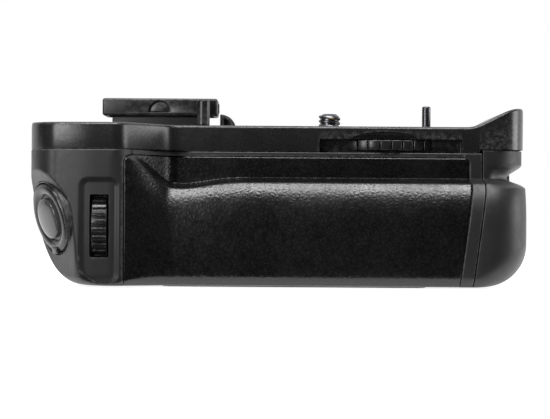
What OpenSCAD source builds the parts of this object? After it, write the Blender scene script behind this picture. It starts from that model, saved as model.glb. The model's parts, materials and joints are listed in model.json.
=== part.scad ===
// Camera battery grip: screws under a camera and holds six round cells in a pull-out tray.
// Frame: X to the right seen from the front, -Y towards the viewer, +Z up, origin under the middle.

/* [Body] */
// Room behind the battery chamber for the rear controls
rear_room = 4.4; // [4:0.1:8]
// Height of the seam between housing and top plate
seam_z = 37.4; // [36:0.1:42]
// Room over the head of the wheel axle
head_room = 0.35; // [0.3:0.05:2]
// Wall of the housing
wall = 2.4; // [2:0.1:3]
// Roof thickness of the top plate
plate_roof = 1.7; // [1.4:0.1:2.2]
// Width of the control end, left of the battery chamber
left_end_w = 23; // [22:0.5:30]
// Set-back of the main front face behind the left bulge
main_setback = 17.5; // [15:0.5:19]
// How far the lower grip stands out from the main face
bulge_out = 12; // [10:0.5:13]
// Height of the horn above the top plate
horn_h = 5.4; // [3:0.1:7]
// Radius along the bottom edges
bottom_r = 3; // [2:0.25:4]

/* [Front grip] */
// Thickness of the grip rubber
rubber_t = 1.2; // [0.9:0.1:1.4]
// Strip of housing between the seam and the rubber
rubber_drop = 1.3; // [1:0.1:2.5]
// Height of the finger channel above the ridge
channel_h = 7.6; // [6:0.1:8]
// Width of the rim between the rubber and the end cap seam
rim_w = 3.4; // [2.5:0.1:5]

/* [Battery tray] */
// Length of one cell
cell_l = 49.5; // [48:0.1:50.5]
// Diameter of one cell
cell_d = 14.5; // [13.5:0.1:14.6]
// Wall of the tray
tray_wall = 1.4; // [1.2:0.1:1.8]
// Wall of the chamber sleeve
sleeve_wall = 0.8; // [0.6:0.1:1.2]
// Running gap between tray and sleeve
tray_gap = 0.3; // [0.25:0.05:0.4]
// Depth of the end cap beyond the tray
cap_depth = 8.5; // [8:0.25:12]
// Radius of the latch knob
knob_r = 8; // [7:0.25:8.5]

/* [Camera mount] */
// Radius of the mount screw thread
screw_r = 3.175; // [2.5:0.025:4]
// Height of the mount screw above the top plate
screw_proud = 4.4; // [4:0.1:6]
// Screw position, behind the main front face
screw_back = 23; // [21:0.5:24]
// Depth of the tripod socket
socket_h = 6; // [5:0.1:6.5]
// Radius of the locating pin
pin_r = 1.25; // [1:0.05:1.5]
// Height of the locating pin above the top plate
pin_proud = 6.8; // [5:0.1:7.5]
// Distance from the screw to the locating pin
pin_pitch = 28; // [27:0.25:30]
// Radius of the locating post
post_r = 1.9; // [1.5:0.05:2.2]
// Height of the locating post above the top plate
post_proud = 7.6; // [6:0.1:8]

/* [Thumbwheel] */
// Outer radius of the thumbwheel
wheel_r = 19.5; // [19:0.1:20.5]
// Thickness of the thumbwheel
wheel_t = 2.8; // [2.4:0.1:3]
// How far the rim stands out of the front face
wheel_proud = 0.8; // [0.5:0.1:1.5]
// Ribs round the thumbwheel
wheel_ribs = 38; // [24:1:48]
// Teeth on the wheel gear
wheel_teeth = 40; // [36:1:44]
// Teeth on the screw gear
screw_teeth = 17; // [16:1:19]

/* [Controls] */
// Radius of the release button
release_r = 5.6; // [4.5:0.1:6]
// Travel of the release button
release_travel = 1.2; // [0.8:0.1:1.5]
// Outer radius of the lock collar
collar_r = 9.6; // [8.5:0.1:9.8]
// Radius of the front dial
front_dial_r = 9.5; // [8:0.1:9.8]
// Width of the front dial
front_dial_w = 4; // [3:0.1:5]
// Radius of the rear dial
rear_dial_r = 9; // [8:0.1:9.5]
// Width of the rear dial
rear_dial_w = 6; // [4:0.1:7]
// Ribs round a dial
dial_ribs = 26; // [16:1:32]
// How far a dial stands out of its face
dial_proud = 0.75; // [0.5:0.05:1]
// Radius of the autofocus lock button
af_r = 3.5; // [3:0.1:4]
// Travel of the autofocus lock button
af_travel = 0.8; // [0.5:0.1:1]
// Radius of the selector pad
pad_r = 5.6; // [5:0.1:6]

/* [Hidden] */
$fn = 64;

// Colours
black = [0.10, 0.10, 0.11];
dark = [0.16, 0.16, 0.17];
grey = [0.32, 0.32, 0.34];
rubber_black = [0.06, 0.06, 0.065];
steel = [0.72, 0.73, 0.75];
brass = [0.75, 0.60, 0.28];
board_green = [0.10, 0.32, 0.20];
amber = [0.45, 0.28, 0.10];
cell_tan = [0.55, 0.42, 0.20];

// Clearances
run_gap = 0.06;
part_gap = 0.3;
fit_gap = 0.05;

// Lengthwise stack: control end, sleeve, tray with two cells end to end, end cap
contact_t = 0.3;
spring_l = 2;
tray_l = 2 * tray_wall + 2 * cell_l + 2 * contact_t + spring_l;
body_w = left_end_w + sleeve_wall + tray_gap + tray_l + cap_depth;
left_x = -body_w / 2;
right_x = body_w / 2;
sleeve_x0 = left_x + left_end_w;
tray_x0 = sleeve_x0 + sleeve_wall + tray_gap;
tray_x1 = tray_x0 + tray_l;
cell_x0 = tray_x0 + tray_wall + contact_t + spring_l;
cap_overlap = 4;
seam_x = tray_x1 - cap_overlap;

// Depth stack: left bulge, lower grip, rubber, wall, sleeve with three rows of cells, rear room, wall
cell_rows = 3;
cell_pitch = cell_d + 0.2;
tray_d = cell_rows * cell_pitch + 0.4;
sleeve_d = tray_d + 2 * tray_gap + 2 * sleeve_wall;
sleeve_back = rubber_t + wall + 0.4;
housing_d = main_setback - bulge_out + sleeve_back + sleeve_d + rear_room + wall;
left_front_y = -housing_d / 2;
rear_y = housing_d / 2;
main_front_y = left_front_y + main_setback;
bulge_front_y = main_front_y - bulge_out;
sleeve_y0 = bulge_front_y + sleeve_back;
sleeve_y1 = sleeve_y0 + sleeve_d;

// Height stack: the top plate houses the wheel, its gear and the head of the axle
base_proud = 0.4;
wheel_lift = 0.7;
wheel_groove = 0.8;
wheel_land = 0.9;
gear_t = 1.1;
axle_gap = 0.15;
axle_head_t = 0.5;
plate_h = wheel_lift + wheel_t + gear_t + axle_gap + axle_head_t + head_room + plate_roof;
plate_top = seam_z + plate_h;
roof_z = plate_top - plate_roof;
floor_z = base_proud + wall;
rubber_top = seam_z - rubber_drop;
ridge_z = rubber_top - channel_h;
cap_top = seam_z + 0.8;

// Front surface: a step from the left bulge to the main face, and the lower bulge under the channel
step_x0 = sleeve_x0 - 1;
step_w = 14;
step_more = 4;
ledge_h = 3.6;
dip = 1.8;
dip_x = sleeve_x0 + 18.5;
dip_w = 9;
lift = 4;
lift_x = sleeve_x0 + 15.5;
lift_w = 8;
belly = 0.8;
rubber_x0 = sleeve_x0 + 3.2;
reveal = 0.05;
lean = 0.13;
lean_z = ridge_z - 1.8;

function smooth(t) = let (c = min(max(t, 0), 1)) c * c * (3 - 2 * c);
function mix(a, b, t) = a + (b - a) * t;
function square_of(t) = t * t;
function spread(a, b, n) = [for (i = [0:n]) mix(a, b, i / n)];
function upper_y(x) = mix(left_front_y, main_front_y, smooth(smooth((x - step_x0) / step_w)));
function lower_y(x) = mix(left_front_y, bulge_front_y, smooth((x - step_x0) / (step_w + step_more)));
function ridge_at(x) = ridge_z - dip * exp(-square_of((x - dip_x) / dip_w))
    + lift * smooth((lift_x - x) / lift_w);
function ledge(x, z) = smooth((ridge_at(x) + ledge_h / 2 - z) / ledge_h);
function edge_in(z) = let (h = z - base_proud)
    h < bottom_r ? bottom_r - sqrt(square_of(bottom_r) - square_of(bottom_r - h)) : 0;
function front_y(x, z) = mix(upper_y(x), lower_y(x), ledge(x, z))
    + belly * smooth((ridge_z / 2 - z) / ridge_z) + edge_in(z);

// Rows of points follow the ridge where it dips and lifts, and are level again above and below it
row_fade = 8;
row_low = 11;
row_near = 3;
function row_share(z) = z < ridge_z ? (z - row_low) / (ridge_z - row_near - row_low)
    : (rubber_top - z) / (rubber_top - ridge_z - row_near);
function row_z(x, z) = z + (ridge_at(x) - ridge_z) * min(1, max(0, row_share(z)))
    * smooth((x - rubber_x0 + row_fade) / row_fade);
function front_point(x, z, back) = let (h = row_z(x, z)) [x, front_y(x, h) + back, h];

// Release facet that slants across the left front corner
facet_slope = 1.67;
facet_x0 = left_x + 14.5;
facet_lean = 0.1;
facet_curl = 0.04;
facet_curl_z = ridge_z - 9.5;
function facet_x(z) = facet_x0 - facet_lean * z - facet_curl * square_of(max(0, z - facet_curl_z));
function facet_y(x, z) = left_front_y + facet_slope * (facet_x(z) - x);
function skin_y(x, z) = max(front_y(x, z), facet_y(x, z));

// Ends seen from the front: a tall ellipse at the lower left, a round corner at the lower right
left_round_w = 15;
left_round_h = ridge_z;
right_round = 11.5;
function left_at(z) = let (t = min(1, max(0, (left_round_h - z + base_proud) / left_round_h)))
    left_x + left_round_w * (1 - sqrt(1 - t * t));
function right_at(z) = let (t = min(1, max(0, (right_round - z + base_proud) / right_round)))
    right_x - right_round * (1 - sqrt(1 - t * t)) - waist * waist_at(z);
function lean_at(z) = lean * max(0, lean_z - z);
function seam_at(z) = seam_x - lean_at(z);
function rubber_x1(z) = seam_at(z) - rim_w;

// Waist of the end cap, where the finger channel runs out
waist = 2;
waist_h = 7;
waist_z = ridge_z + 2.4;
function waist_at(z) = 1 - smooth(abs(z - waist_z) / (waist_h / 2));

// Plan of the left end: an elliptical front corner and a round rear corner
left_corner_w = 8;
left_corner_d = 12;
rear_corner = 8;
corner_steps = 5;
function left_end(z, inset) = let (x0 = left_at(z) + inset, y0 = skin_y(left_at(z) + left_corner_w, z))
    [for (i = [0:corner_steps])
        let (a = 90 * i / corner_steps, x = x0 + left_corner_w * (1 - sin(a)),
            y = y0 + inset + left_corner_d * (1 - cos(a)))
        [x, max(y, facet_y(x, z) + inset), z]];
function rear_left(z, inset) = let (x0 = left_at(z) + inset, y1 = rear_y - edge_in(z) - inset)
    [for (i = [0:corner_steps])
        let (a = 90 * i / corner_steps)
        [x0 + rear_corner * (1 - cos(a)), y1 - rear_corner * (1 - sin(a)), z]];

// One level of the housing: along the front from right to left, round the left end, back to the right
grip_steps = 22;
bulge_steps = 7;
grip_bias = 1.7;
function grip_xs(z, slack) = [for (i = [grip_steps:-1:0])
    mix(rubber_x0 + slack, rubber_x1(z) - slack, pow(i / grip_steps, grip_bias))];
function housing_ring(z, inset, sunk) = let (slack = inset / 6) concat(
    [[seam_at(z) - inset, front_y(seam_at(z), z) + inset, z],
     [rubber_x1(z) + slack, front_y(rubber_x1(z), z) + inset, z]],
    [for (x = grip_xs(z, slack)) front_point(x, z, inset + sunk)],
    [for (i = [0:bulge_steps - 1])
        let (x = mix(rubber_x0 - slack, left_at(z) + left_corner_w + inset, i / bulge_steps),
            h = row_z(x, z))
        [x, skin_y(x, h) + inset, h]],
    left_end(z, inset),
    rear_left(z, inset),
    [[seam_at(z) - inset, rear_y - edge_in(z) - inset, z]]);

// Levels where the shells are measured, closest together at the bottom edge and over the ridge
edge_levels = [for (a = [0:22.5:90]) base_proud + bottom_r * (1 - cos(a))];
side_shares = [0.26, 0.41, 0.56, 0.71, 0.84];
ridge_levels = [for (i = [-1:5]) ridge_z + i * 0.85];
lower_levels = concat(edge_levels, [for (t = side_shares) t * lean_z], [lean_z], ridge_levels);
cavity_shares = [0.71, 0.41, 0.22];
cavity_levels = concat([seam_z, ridge_z + 4.2, ridge_z + 1.6, ridge_z, lean_z],
    [for (t = cavity_shares) t * lean_z], [floor_z, base_proud]);
floor_under = base_proud + 0.4;

// A closed solid from rings of equal length: a loop of rings joins its last ring to its first,
// and any other stack has a flat cap on both
module ring_stack(rings, loop = false) {
    n = len(rings[0]);
    m = len(rings);
    points = [for (ring = rings) each ring];
    sides = [for (j = [0:m - (loop ? 1 : 2)]) for (i = [0:n - 1])
        let (a = j * n + i, b = j * n + (i + 1) % n, up = (j + 1) % m * n - j * n)
        each [[a, b, a + up], [b, b + up, a + up]]];
    first = [for (i = [n - 1:-1:0]) i];
    last = [for (i = [0:n - 1]) (m - 1) * n + i];
    polyhedron(points, concat(sides, loop ? [] : [first, last]), convexity = 10);
}

// A closed skin between an outer and an inner grid of points
module skin(outer, inner) {
    n = len(outer[0]);
    m = len(outer);
    shift = n * m;
    points = concat([for (row = outer) each row], [for (row = inner) each row]);
    front = [for (j = [0:m - 2]) for (i = [0:n - 2])
        let (a = j * n + i)
        each [[a, a + 1, a + n], [a + 1, a + n + 1, a + n]]];
    back = [for (f = front) [f[0] + shift, f[2] + shift, f[1] + shift]];
    rim = concat([for (i = [0:n - 1]) i], [for (j = [1:m - 1]) j * n + n - 1],
        [for (i = [n - 2:-1:0]) (m - 1) * n + i], [for (j = [m - 2:-1:1]) j * n]);
    edge = [for (k = [0:len(rim) - 1])
        let (a = rim[k], b = rim[(k + 1) % len(rim)])
        each [[a, a + shift, b], [b, a + shift, b + shift]]];
    polyhedron(points, concat(front, back, edge), convexity = 6);
}

// Right end of a level: an elliptical front corner, then a round rear corner
right_corner_w = 11;
right_corner_d = 13;
waist_corner_d = 38;
rear_corner_r = 6;
right_steps = 8;
function right_end(z, x1, w, d, y0, r) = concat(
    [for (i = [0:right_steps])
        let (a = 90 * i / right_steps)
        [x1 - w * (1 - sin(a)), y0 + d * (1 - cos(a)), z]],
    [for (i = [0:corner_steps])
        let (a = 90 * i / corner_steps)
        [x1 - r * (1 - cos(a)), rear_y - edge_in(z) - r * (1 - sin(a)), z]]);

// Chamber sleeve and tray, stacked from the floor up
tray_floor = 1.2;
tray_y0 = sleeve_y0 + sleeve_wall + tray_gap;
sleeve_z0 = socket_h + 0.4;
tray_z0 = sleeve_z0 + sleeve_wall + tray_gap;
cell_z = tray_z0 + tray_floor + fit_gap + cell_d / 2;
tray_z1 = cell_z + cell_d / 2 + 0.2;
sleeve_z1 = tray_z1 + tray_gap + sleeve_wall;
sleeve_x1 = seam_at(floor_z) - wall - 0.1;
post_hole_xs = [sleeve_x0 + 11, sleeve_x0 + 49];
post_hole_ys = [main_front_y + rubber_t + wall + 5, sleeve_y1 - 8];
board_lift = 2.5;
board_t = 1.6;
board_rim = 4;
board_rear_rim = 2;
board_z0 = sleeve_z1 + board_lift;

// Latch on the end cap
knob_t = 4.2;
knob_y = rear_y - 17.5;
shaft_r = 2;
knob_z = sleeve_z1 + shaft_r + 0.6;
knob_x1 = right_x - waist - 0.3;
knob_x0 = knob_x1 - knob_t;
tongue_w = 3;
tongue_l = 6.5;
tongue_t = 1.6;
tongue_x0 = seam_x - wall - 0.5 - tongue_t;

// Camera mount places
screw_x = right_x - 54.3;
screw_y = main_front_y + screw_back;
pin_x = screw_x + pin_pitch;
pin_y = screw_y;
post_x = sleeve_x0 + 23.5;
post_y = main_front_y + 11.5;
bush_wall = 1.8;
bush_r = screw_r + bush_wall;
screw_z1 = plate_top + screw_proud;
journal_r = screw_r - 0.2;
root_more = 0.4;

// Thumbwheel and its gears; the gear centres set the module
wheel_x = right_x - 37.8;
wheel_y = main_front_y - wheel_proud + wheel_r;
wheel_z0 = seam_z + wheel_lift;
wheel_z1 = wheel_z0 + wheel_t;
screw_gear_z0 = wheel_z1 + 0.3;
gear_reach = norm([wheel_x - screw_x, wheel_y - screw_y]);
gear_module = 2 * gear_reach / (wheel_teeth + screw_teeth);
gear_line = atan2(screw_y - wheel_y, screw_x - wheel_x);
axle_r = 2.5;
slot_half = wheel_r + 0.4;
slot_top = wheel_z1 + part_gap;
bridge_t = 1.6;
bridge_z1 = wheel_z0 - 0.3;
bridge_z0 = bridge_z1 - bridge_t;
boss_r = 2.6;
boss_reach = wheel_r + 3.4;
boss_angles = [45, 135];
function boss_place(a) = [wheel_x + boss_reach * cos(a), wheel_y + boss_reach * sin(a)];
bridge_screw_r = 0.9;

// Connector on the top plate
connector_x0 = sleeve_x0 - 2.8;
connector_l = 24.4;
connector_y = main_front_y + 23;
connector_d = 10;
connector_h = 3.2;
cap_x0 = sleeve_x0 - 5.5;
cap_l = 33;
cap_d = 14;
cap_wall = 1.2;
cap_z0 = plate_top + connector_h + 0.1;
cap_h = 5;
tongue_h = 2.6;
tongue_in = 3;
guide_x = cap_x0 + cap_l + 0.6;
guide_l = 4.6;
guide_h = 4.4;
guide_t = 6;

// Sunk field of the top plate round the connector, clear of the face that the camera rests on
field_drop = 0.4;
field_rim = 1.5;
field_x0 = cap_x0 - field_rim;
field_x1 = guide_x + guide_l + field_rim;
field_half = cap_d / 2 + field_rim;
field_z = plate_top - field_drop;

// Plan of the top plate, followed at the seam by the housing
plate_wall = 2.2;
plate_corner_w = 8;
plate_corner_d = 10;
step_points = 14;
horn_l = 15;
horn_tip = 1.6;
horn_points = 10;
cap_step_x = seam_x - 0.6;
function plate_plan(inset) = [for (p = concat(
    right_end(seam_z, right_x - inset, plate_corner_w, plate_corner_d, main_front_y + inset,
        rear_corner_r),
    [[seam_x, rear_y - inset, 0]],
    [for (i = [corner_steps:-1:0]) rear_left(seam_z, inset)[i]],
    [for (i = [corner_steps:-1:0]) left_end(seam_z, inset)[i]],
    [for (x = spread(step_x0, step_x0 + step_w, step_points)) [x, upper_y(x) + inset, 0]])) [p[0], p[1]]];
function horn_z(t) = plate_top + horn_h * smooth(t);
plate_side = concat(
    [[left_x - 1, seam_z], [cap_step_x, seam_z], [cap_step_x, cap_top + part_gap],
     [right_x + 1, cap_top + part_gap], [right_x + 1, plate_top + horn_h - horn_tip],
     [right_x, plate_top + horn_h - horn_tip]],
    [for (t = spread(1, 0, horn_points)) [right_x - horn_tip - horn_l * (1 - t), horn_z(t)]],
    [[left_x - 1, plate_top]]);

// Screws that hold the top plate, near its corners
plate_screw_r = 1.1;
plate_screw_xs = [left_x + 13, sleeve_x0 + 30];
plate_screw_y = rear_y - 7;
screw_head_h = 1;
tab_t = 2.2;
tab_w = 8;
tab_d = 4;

// Release button on the facet; w runs outwards along the button's axis
release_x = left_x + 7;
release_z = ridge_z - 9.5;
release_turn = 31;
release_tilt = 15;
release_lift = 1;
hub_wall = 0.75;
bore_r = release_r + run_gap;
hub_r = bore_r + hub_wall;
bezel_rim = 0.5;
bezel_r = collar_r + part_gap + bezel_rim;
cup_r = hub_r + 1;
shelf_w = -2.6;
trench_w = -1.7;
stem_r = 1;
button_w = -3;
spring_room = 1.8;
cup_t = 1.5;
plunger_out = 0.3;
cup_floor_w = button_w - spring_room - release_travel;
cup_w = cup_floor_w - cup_t;
stem_w = cup_w + plunger_out + 0.2 + release_travel;
button_top_w = 2.4;
release_wire = 0.5;
release_curls = 2.5;
switch_half = 2.25;
switch_h = 2.5;

// Dials
dial_z = 16.7;
dial_y = left_front_y - dial_proud + front_dial_r;
dial_rib = 0.6;
dial_axle_r = 1.5;
cheek_t = 0.9;
cheek_gap = 0.3;
cheek_back = 4;
function dial_half(w) = w / 2 + cheek_gap + cheek_t;
dial_x = sleeve_x0 - 0.1 - dial_half(front_dial_w);
slot_gap = 0.6;
rear_dial_x = left_x + 15.5;
rear_dial_z = seam_z - 13.4;
rear_dial_y = rear_y + dial_proud - rear_dial_r;

// Rear buttons; w runs outwards from the rear face
af_x = sleeve_x0 + 3.5;
af_z = seam_z - 6.4;
af_hole_r = af_r + part_gap;
af_flange_r = af_r + 0.9;
af_back_w = -wall - 1.6;
sel_x = sleeve_x0 + 17.5;
sel_z = seam_z - 8;
sel_gap = 0.8;
sel_bore_r = pad_r + sel_gap;
sel_r = sel_bore_r + 0.75;
sel_seat_r = pad_r - 0.6;
sel_pivot_w = -4.2;
sel_pivot_y = rear_y + sel_pivot_w;
trunnion_reach = sel_seat_r + 0.7;
sel_back_w = -5.2;
sel_step_w = -2.6;
pad_under_w = -1.6;
ring_r = sel_seat_r - 0.6;
ring_bore_r = 2.6;
ring_half = 0.8;
trunnion_r = 0.6;
pad_pin_r = 0.5;
pad_stem_r = 1.4;
panel_w = -7.4;
panel_t = 1.6;
panel_left = 6;
panel_right = 8;
panel_drop = 1.5;

// Base
base_t = 1.2;
base_x0 = sleeve_x0 + 13;
base_x1 = right_x - 28;
base_y0 = main_front_y - 4;
base_y1 = rear_y - 8;
base_corner = 4;
base_screw_r = 1;
base_head_r = 2;
base_screw_in = 4.5;
base_screw_xs = [base_x0 + base_screw_in, base_x1 - base_screw_in];
base_screw_ys = [base_y0 + base_screw_in, base_y1 - base_screw_in];
socket_r = screw_r + 3;

// Rails under the sleeve: one near its front wall, one just behind the tripod socket
rail_w = 4;
rail_socket_gap = 1.525;
rail_ys = [sleeve_y0 + rail_w, screw_y + socket_r + rail_socket_gap];

module along_y(y0, y1) {
    translate([0, y1, 0]) rotate([90, 0, 0]) linear_extrude(y1 - y0) children();
}

module rod_x(x0, x1, y, z, r) {
    translate([x0, y, z]) rotate([0, 90, 0]) cylinder(h = x1 - x0, r = r);
}

// A many-sided cutter for round holes through a curved skin
hole_sides = 48;
module skin_cutter(h, r) {
    linear_extrude(h, center = true)
        polygon([for (i = [0:hole_sides - 1])
            let (a = 360 * i / hole_sides)
            r / cos(180 / hole_sides) * [cos(a), sin(a)]]);
}

module rod_y(x, y0, y1, z, r) {
    translate([x, y0, z]) rotate([-90, 0, 0]) cylinder(h = y1 - y0, r = r);
}

module rod_z(x, y, z0, z1, r) {
    translate([x, y, z0]) cylinder(h = z1 - z0, r = r);
}

module box(x0, x1, y0, y1, z0, z1) {
    translate([x0, y0, z0]) cube([x1 - x0, y1 - y0, z1 - z0]);
}

module top_plate() {
    color(dark) difference() {
        union() {
            difference() {
                intersection() {
                    translate([0, 0, seam_z - 1]) linear_extrude(plate_h + horn_h + 2)
                        polygon(plate_plan(0));
                    along_y(-housing_d, housing_d) polygon(plate_side);
                }
                translate([0, 0, seam_z - 2]) linear_extrude(roof_z - seam_z + 2)
                    polygon(plate_plan(plate_wall));
            }
            for (a = boss_angles)
                rod_z(boss_place(a)[0], boss_place(a)[1], bridge_z1, roof_z + 0.5, boss_r);
            for (x = plate_screw_xs)
                rod_z(x, plate_screw_y, seam_z, roof_z + 0.5, boss_r);
        }
        box(wheel_x - slot_half, wheel_x + slot_half, main_front_y - 1, main_front_y + plate_wall + 1,
            seam_z - 1, slot_top);
        box(field_x0, field_x1, connector_y - field_half, connector_y + field_half, field_z, plate_top + 1);
        rod_z(screw_x, screw_y, roof_z - 1, plate_top + 1, bush_r);
        rod_z(pin_x, pin_y, roof_z - 1, plate_top + 1, pin_r + root_more);
        rod_z(post_x, post_y, roof_z - 1, plate_top + 1, post_r + root_more);
        box(connector_x0, connector_x0 + connector_l, connector_y - connector_d / 2,
            connector_y + connector_d / 2, roof_z - 1, plate_top + 1);
        for (a = boss_angles)
            rod_z(boss_place(a)[0], boss_place(a)[1], bridge_z1 - 1, roof_z, bridge_screw_r);
        for (x = plate_screw_xs)
            rod_z(x, plate_screw_y, seam_z - 1, roof_z, plate_screw_r);
    }
}

module seat_holes() {
    opening_y0 = sleeve_y0 + sleeve_wall;
    opening_y1 = sleeve_y1 - sleeve_wall;
    box(sleeve_x1 - 1, seam_x + 1, opening_y0, opening_y1,
        sleeve_z0 + sleeve_wall, sleeve_z1 - sleeve_wall);
    box(tongue_x0 - 1, seam_x + 1, knob_y - tongue_w / 2 - 0.4, knob_y + tongue_w / 2 + 0.4,
        knob_z - shaft_r - 0.4, knob_z + tongue_l + 0.4);
    box(tongue_x0 - 1, seam_x + 1, knob_y - shaft_r - 0.4, knob_y + shaft_r + 0.4,
        knob_z - shaft_r - 0.4, knob_z + shaft_r + 0.4);
    at_release() skin_cutter(30, bezel_r + fit_gap);
    box(dial_x - front_dial_w / 2 - slot_gap, dial_x + front_dial_w / 2 + slot_gap, left_front_y - 1,
        left_front_y + wall + 2, dial_z - front_dial_r + 1, dial_z + front_dial_r - 1);
    box(rear_dial_x - rear_dial_w / 2 - slot_gap, rear_dial_x + rear_dial_w / 2 + slot_gap,
        rear_y - wall - 1, rear_y + 1, rear_dial_z - rear_dial_r + 1, rear_dial_z + rear_dial_r - 1);
    rod_y(af_x, rear_y - wall - 1, rear_y + 1, af_z, af_hole_r);
    rod_y(sel_x, rear_y - wall - 1, rear_y + 1, sel_z, sel_r + fit_gap);
    base_blank(base_proud - 1, base_t, fit_gap);
    rod_z(screw_x, screw_y, -1, floor_z + 1, socket_r + fit_gap);
    for (x = base_screw_xs, y = base_screw_ys)
        rod_z(x, y, 0, floor_z + 1, base_screw_r);
    for (x = plate_screw_xs)
        rod_z(x, plate_screw_y, seam_z - tab_t - 1, seam_z + 1, plate_screw_r);
}

module at_release() {
    translate([release_x, facet_y(release_x, release_z), release_z])
        rotate([0, 90 + release_tilt, 180 + release_turn])
            translate([0, 0, release_lift])
                children();
}

module base_blank(z0, z1, more) {
    translate([0, 0, z0]) linear_extrude(z1 - z0) union() {
        translate([base_x0 - more, base_y0 + base_corner])
            square([base_x1 - base_x0 + 2 * more, base_y1 - base_y0 - 2 * base_corner]);
        translate([base_x0 + base_corner, base_y0 - more])
            square([base_x1 - base_x0 - 2 * base_corner, base_y1 - base_y0 + 2 * more]);
        for (x = [base_x0 + base_corner, base_x1 - base_corner],
                y = [base_y0 + base_corner, base_y1 - base_corner])
            translate([x, y]) circle(base_corner + more);
    }
}

module housing_shell() {
    outer = concat([for (z = lower_levels) housing_ring(z, 0, rubber_t)],
        [housing_ring(rubber_top, 0, rubber_t), housing_ring(rubber_top + reveal, 0, reveal),
         housing_ring(seam_z, 0, reveal)]);
    inner = [for (z = cavity_levels) housing_ring(z, wall, rubber_t)];
    color(black) difference() {
        union() {
            ring_stack(concat(outer, inner), true);
            translate([0, 0, floor_under]) linear_extrude(floor_z - floor_under)
                polygon([for (p = housing_ring(floor_under, 0.4, rubber_t)) [p[0], p[1]]]);
            for (x = plate_screw_xs)
                box(x - tab_w / 2, x + tab_w / 2, plate_screw_y - tab_d, rear_y - wall / 2,
                    seam_z - tab_t, seam_z - fit_gap);
        }
        seat_holes();
    }
}

module front_grip_rubber() {
    levels = concat(lower_levels, [rubber_top - fit_gap]);
    outer = [for (z = levels) [for (x = grip_xs(z, fit_gap)) front_point(x, z, 0)]];
    inner = [for (z = levels) [for (x = grip_xs(z, fit_gap)) front_point(x, z, rubber_t - fit_gap)]];
    color(rubber_black) skin(outer, inner);
}

module tray_end_cap() {
    levels = concat(lower_levels, [mix(ridge_z, cap_top, 0.7), cap_top]);
    rings = [for (z = levels)
        let (x0 = seam_at(z) + part_gap, x1 = right_at(z), room = x1 - x0 - 0.5,
            d = mix(right_corner_d, waist_corner_d, waist_at(z)))
        concat([[x0, front_y(x0, z), z]],
            right_end(z, x1, min(right_corner_w, room), d, front_y(x0, z), min(rear_corner_r, room)),
            [[x0, rear_y - edge_in(z), z]])];
    color(black) difference() {
        ring_stack([for (i = [len(rings) - 1:-1:0]) rings[i]]);
        box(sleeve_x1, tray_x1, tray_y0 - fit_gap, tray_y0 + tray_d + fit_gap,
            tray_z0 - fit_gap, tray_z1 + fit_gap);
        translate([knob_x0 - 0.1 + knob_t, knob_y, knob_z]) rotate([0, 90, 0])
            skin_cutter(2 * knob_t, knob_r + part_gap);
        rod_x(seam_x - 1, right_x, knob_y, knob_z, shaft_r + run_gap);
    }
}

// Rear grip: a thin rubber pad let onto the rear face, right of the controls
rear_grip_x0 = sleeve_x0 + 29;
rear_grip_x1 = seam_x - 8;
rear_grip_z0 = 8;
rear_grip_z1 = seam_z - 6;
rear_grip_t = dial_proud - 0.1;
rear_grip_r = 3;

module rear_grip_rubber() {
    r = rear_grip_r;
    l = rear_grip_x1 - rear_grip_x0;
    h = rear_grip_z1 - rear_grip_z0;
    color(rubber_black) along_y(rear_y, rear_y + rear_grip_t) union() {
        translate([rear_grip_x0, rear_grip_z0 + r]) square([l, h - 2 * r]);
        translate([rear_grip_x0 + r, rear_grip_z0]) square([l - 2 * r, h]);
        for (x = [rear_grip_x0 + r, rear_grip_x1 - r], z = [rear_grip_z0 + r, rear_grip_z1 - r])
            translate([x, z]) circle(r);
    }
}

// Outline of a ribbed rim: n ribs of given depth, each filling a share of its step
function rim_outline(r, depth, n, fill, taper) = [for (i = [0:n - 1])
    let (step = 360 / n)
    each [for (k = [[-fill, -depth], [-fill * taper, 0], [fill * taper, 0], [fill, -depth]])
        (r + k[1]) * [cos(step * (i + k[0] / 2)), sin(step * (i + k[0] / 2))]]];

module gear(teeth, turn, bore) {
    pitch_r = teeth * gear_module / 2;
    difference() {
        rotate(turn) linear_extrude(gear_t)
            polygon(rim_outline(pitch_r + 0.7 * gear_module, 1.6 * gear_module, teeth, 0.5, 0.4));
        translate([0, 0, -1]) cylinder(h = gear_t + 2, r = bore);
    }
}

module mount_screw() {
    color(steel) union() {
        rod_z(screw_x, screw_y, screw_gear_z0, screw_z1 - 0.5, journal_r);
        rod_z(screw_x, screw_y, plate_top, screw_z1, screw_r);
    }
}

module screw_gear() {
    color(brass) translate([screw_x, screw_y, screw_gear_z0])
        gear(screw_teeth, gear_line + 180 + 180 / screw_teeth, journal_r);
}

module screw_bush() {
    color(brass) difference() {
        rod_z(screw_x, screw_y, roof_z, plate_top - run_gap, bush_r);
        rod_z(screw_x, screw_y, roof_z - 1, plate_top + 1, journal_r + run_gap);
    }
}

module thumbwheel() {
    color(grey) translate([wheel_x, wheel_y, wheel_z0]) difference() {
        linear_extrude(wheel_t) polygon(rim_outline(wheel_r, wheel_groove, wheel_ribs, wheel_land, wheel_land));
        translate([0, 0, -1]) cylinder(h = wheel_t + 2, r = axle_r + run_gap);
    }
}

module wheel_gear() {
    color(brass) translate([wheel_x, wheel_y, wheel_z1]) gear(wheel_teeth, gear_line, axle_r + run_gap);
}

axle_head_r = 3.8;
axle_head_z = wheel_z1 + gear_t + axle_gap;

module wheel_axle() {
    color(steel) union() {
        rod_z(wheel_x, wheel_y, bridge_z0, axle_head_z + axle_head_t, axle_r);
        rod_z(wheel_x, wheel_y, axle_head_z, axle_head_z + axle_head_t, axle_head_r);
    }
}

bridge_x_half = boss_reach * cos(boss_angles[0]) + boss_r;
bridge_front = 4;

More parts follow.
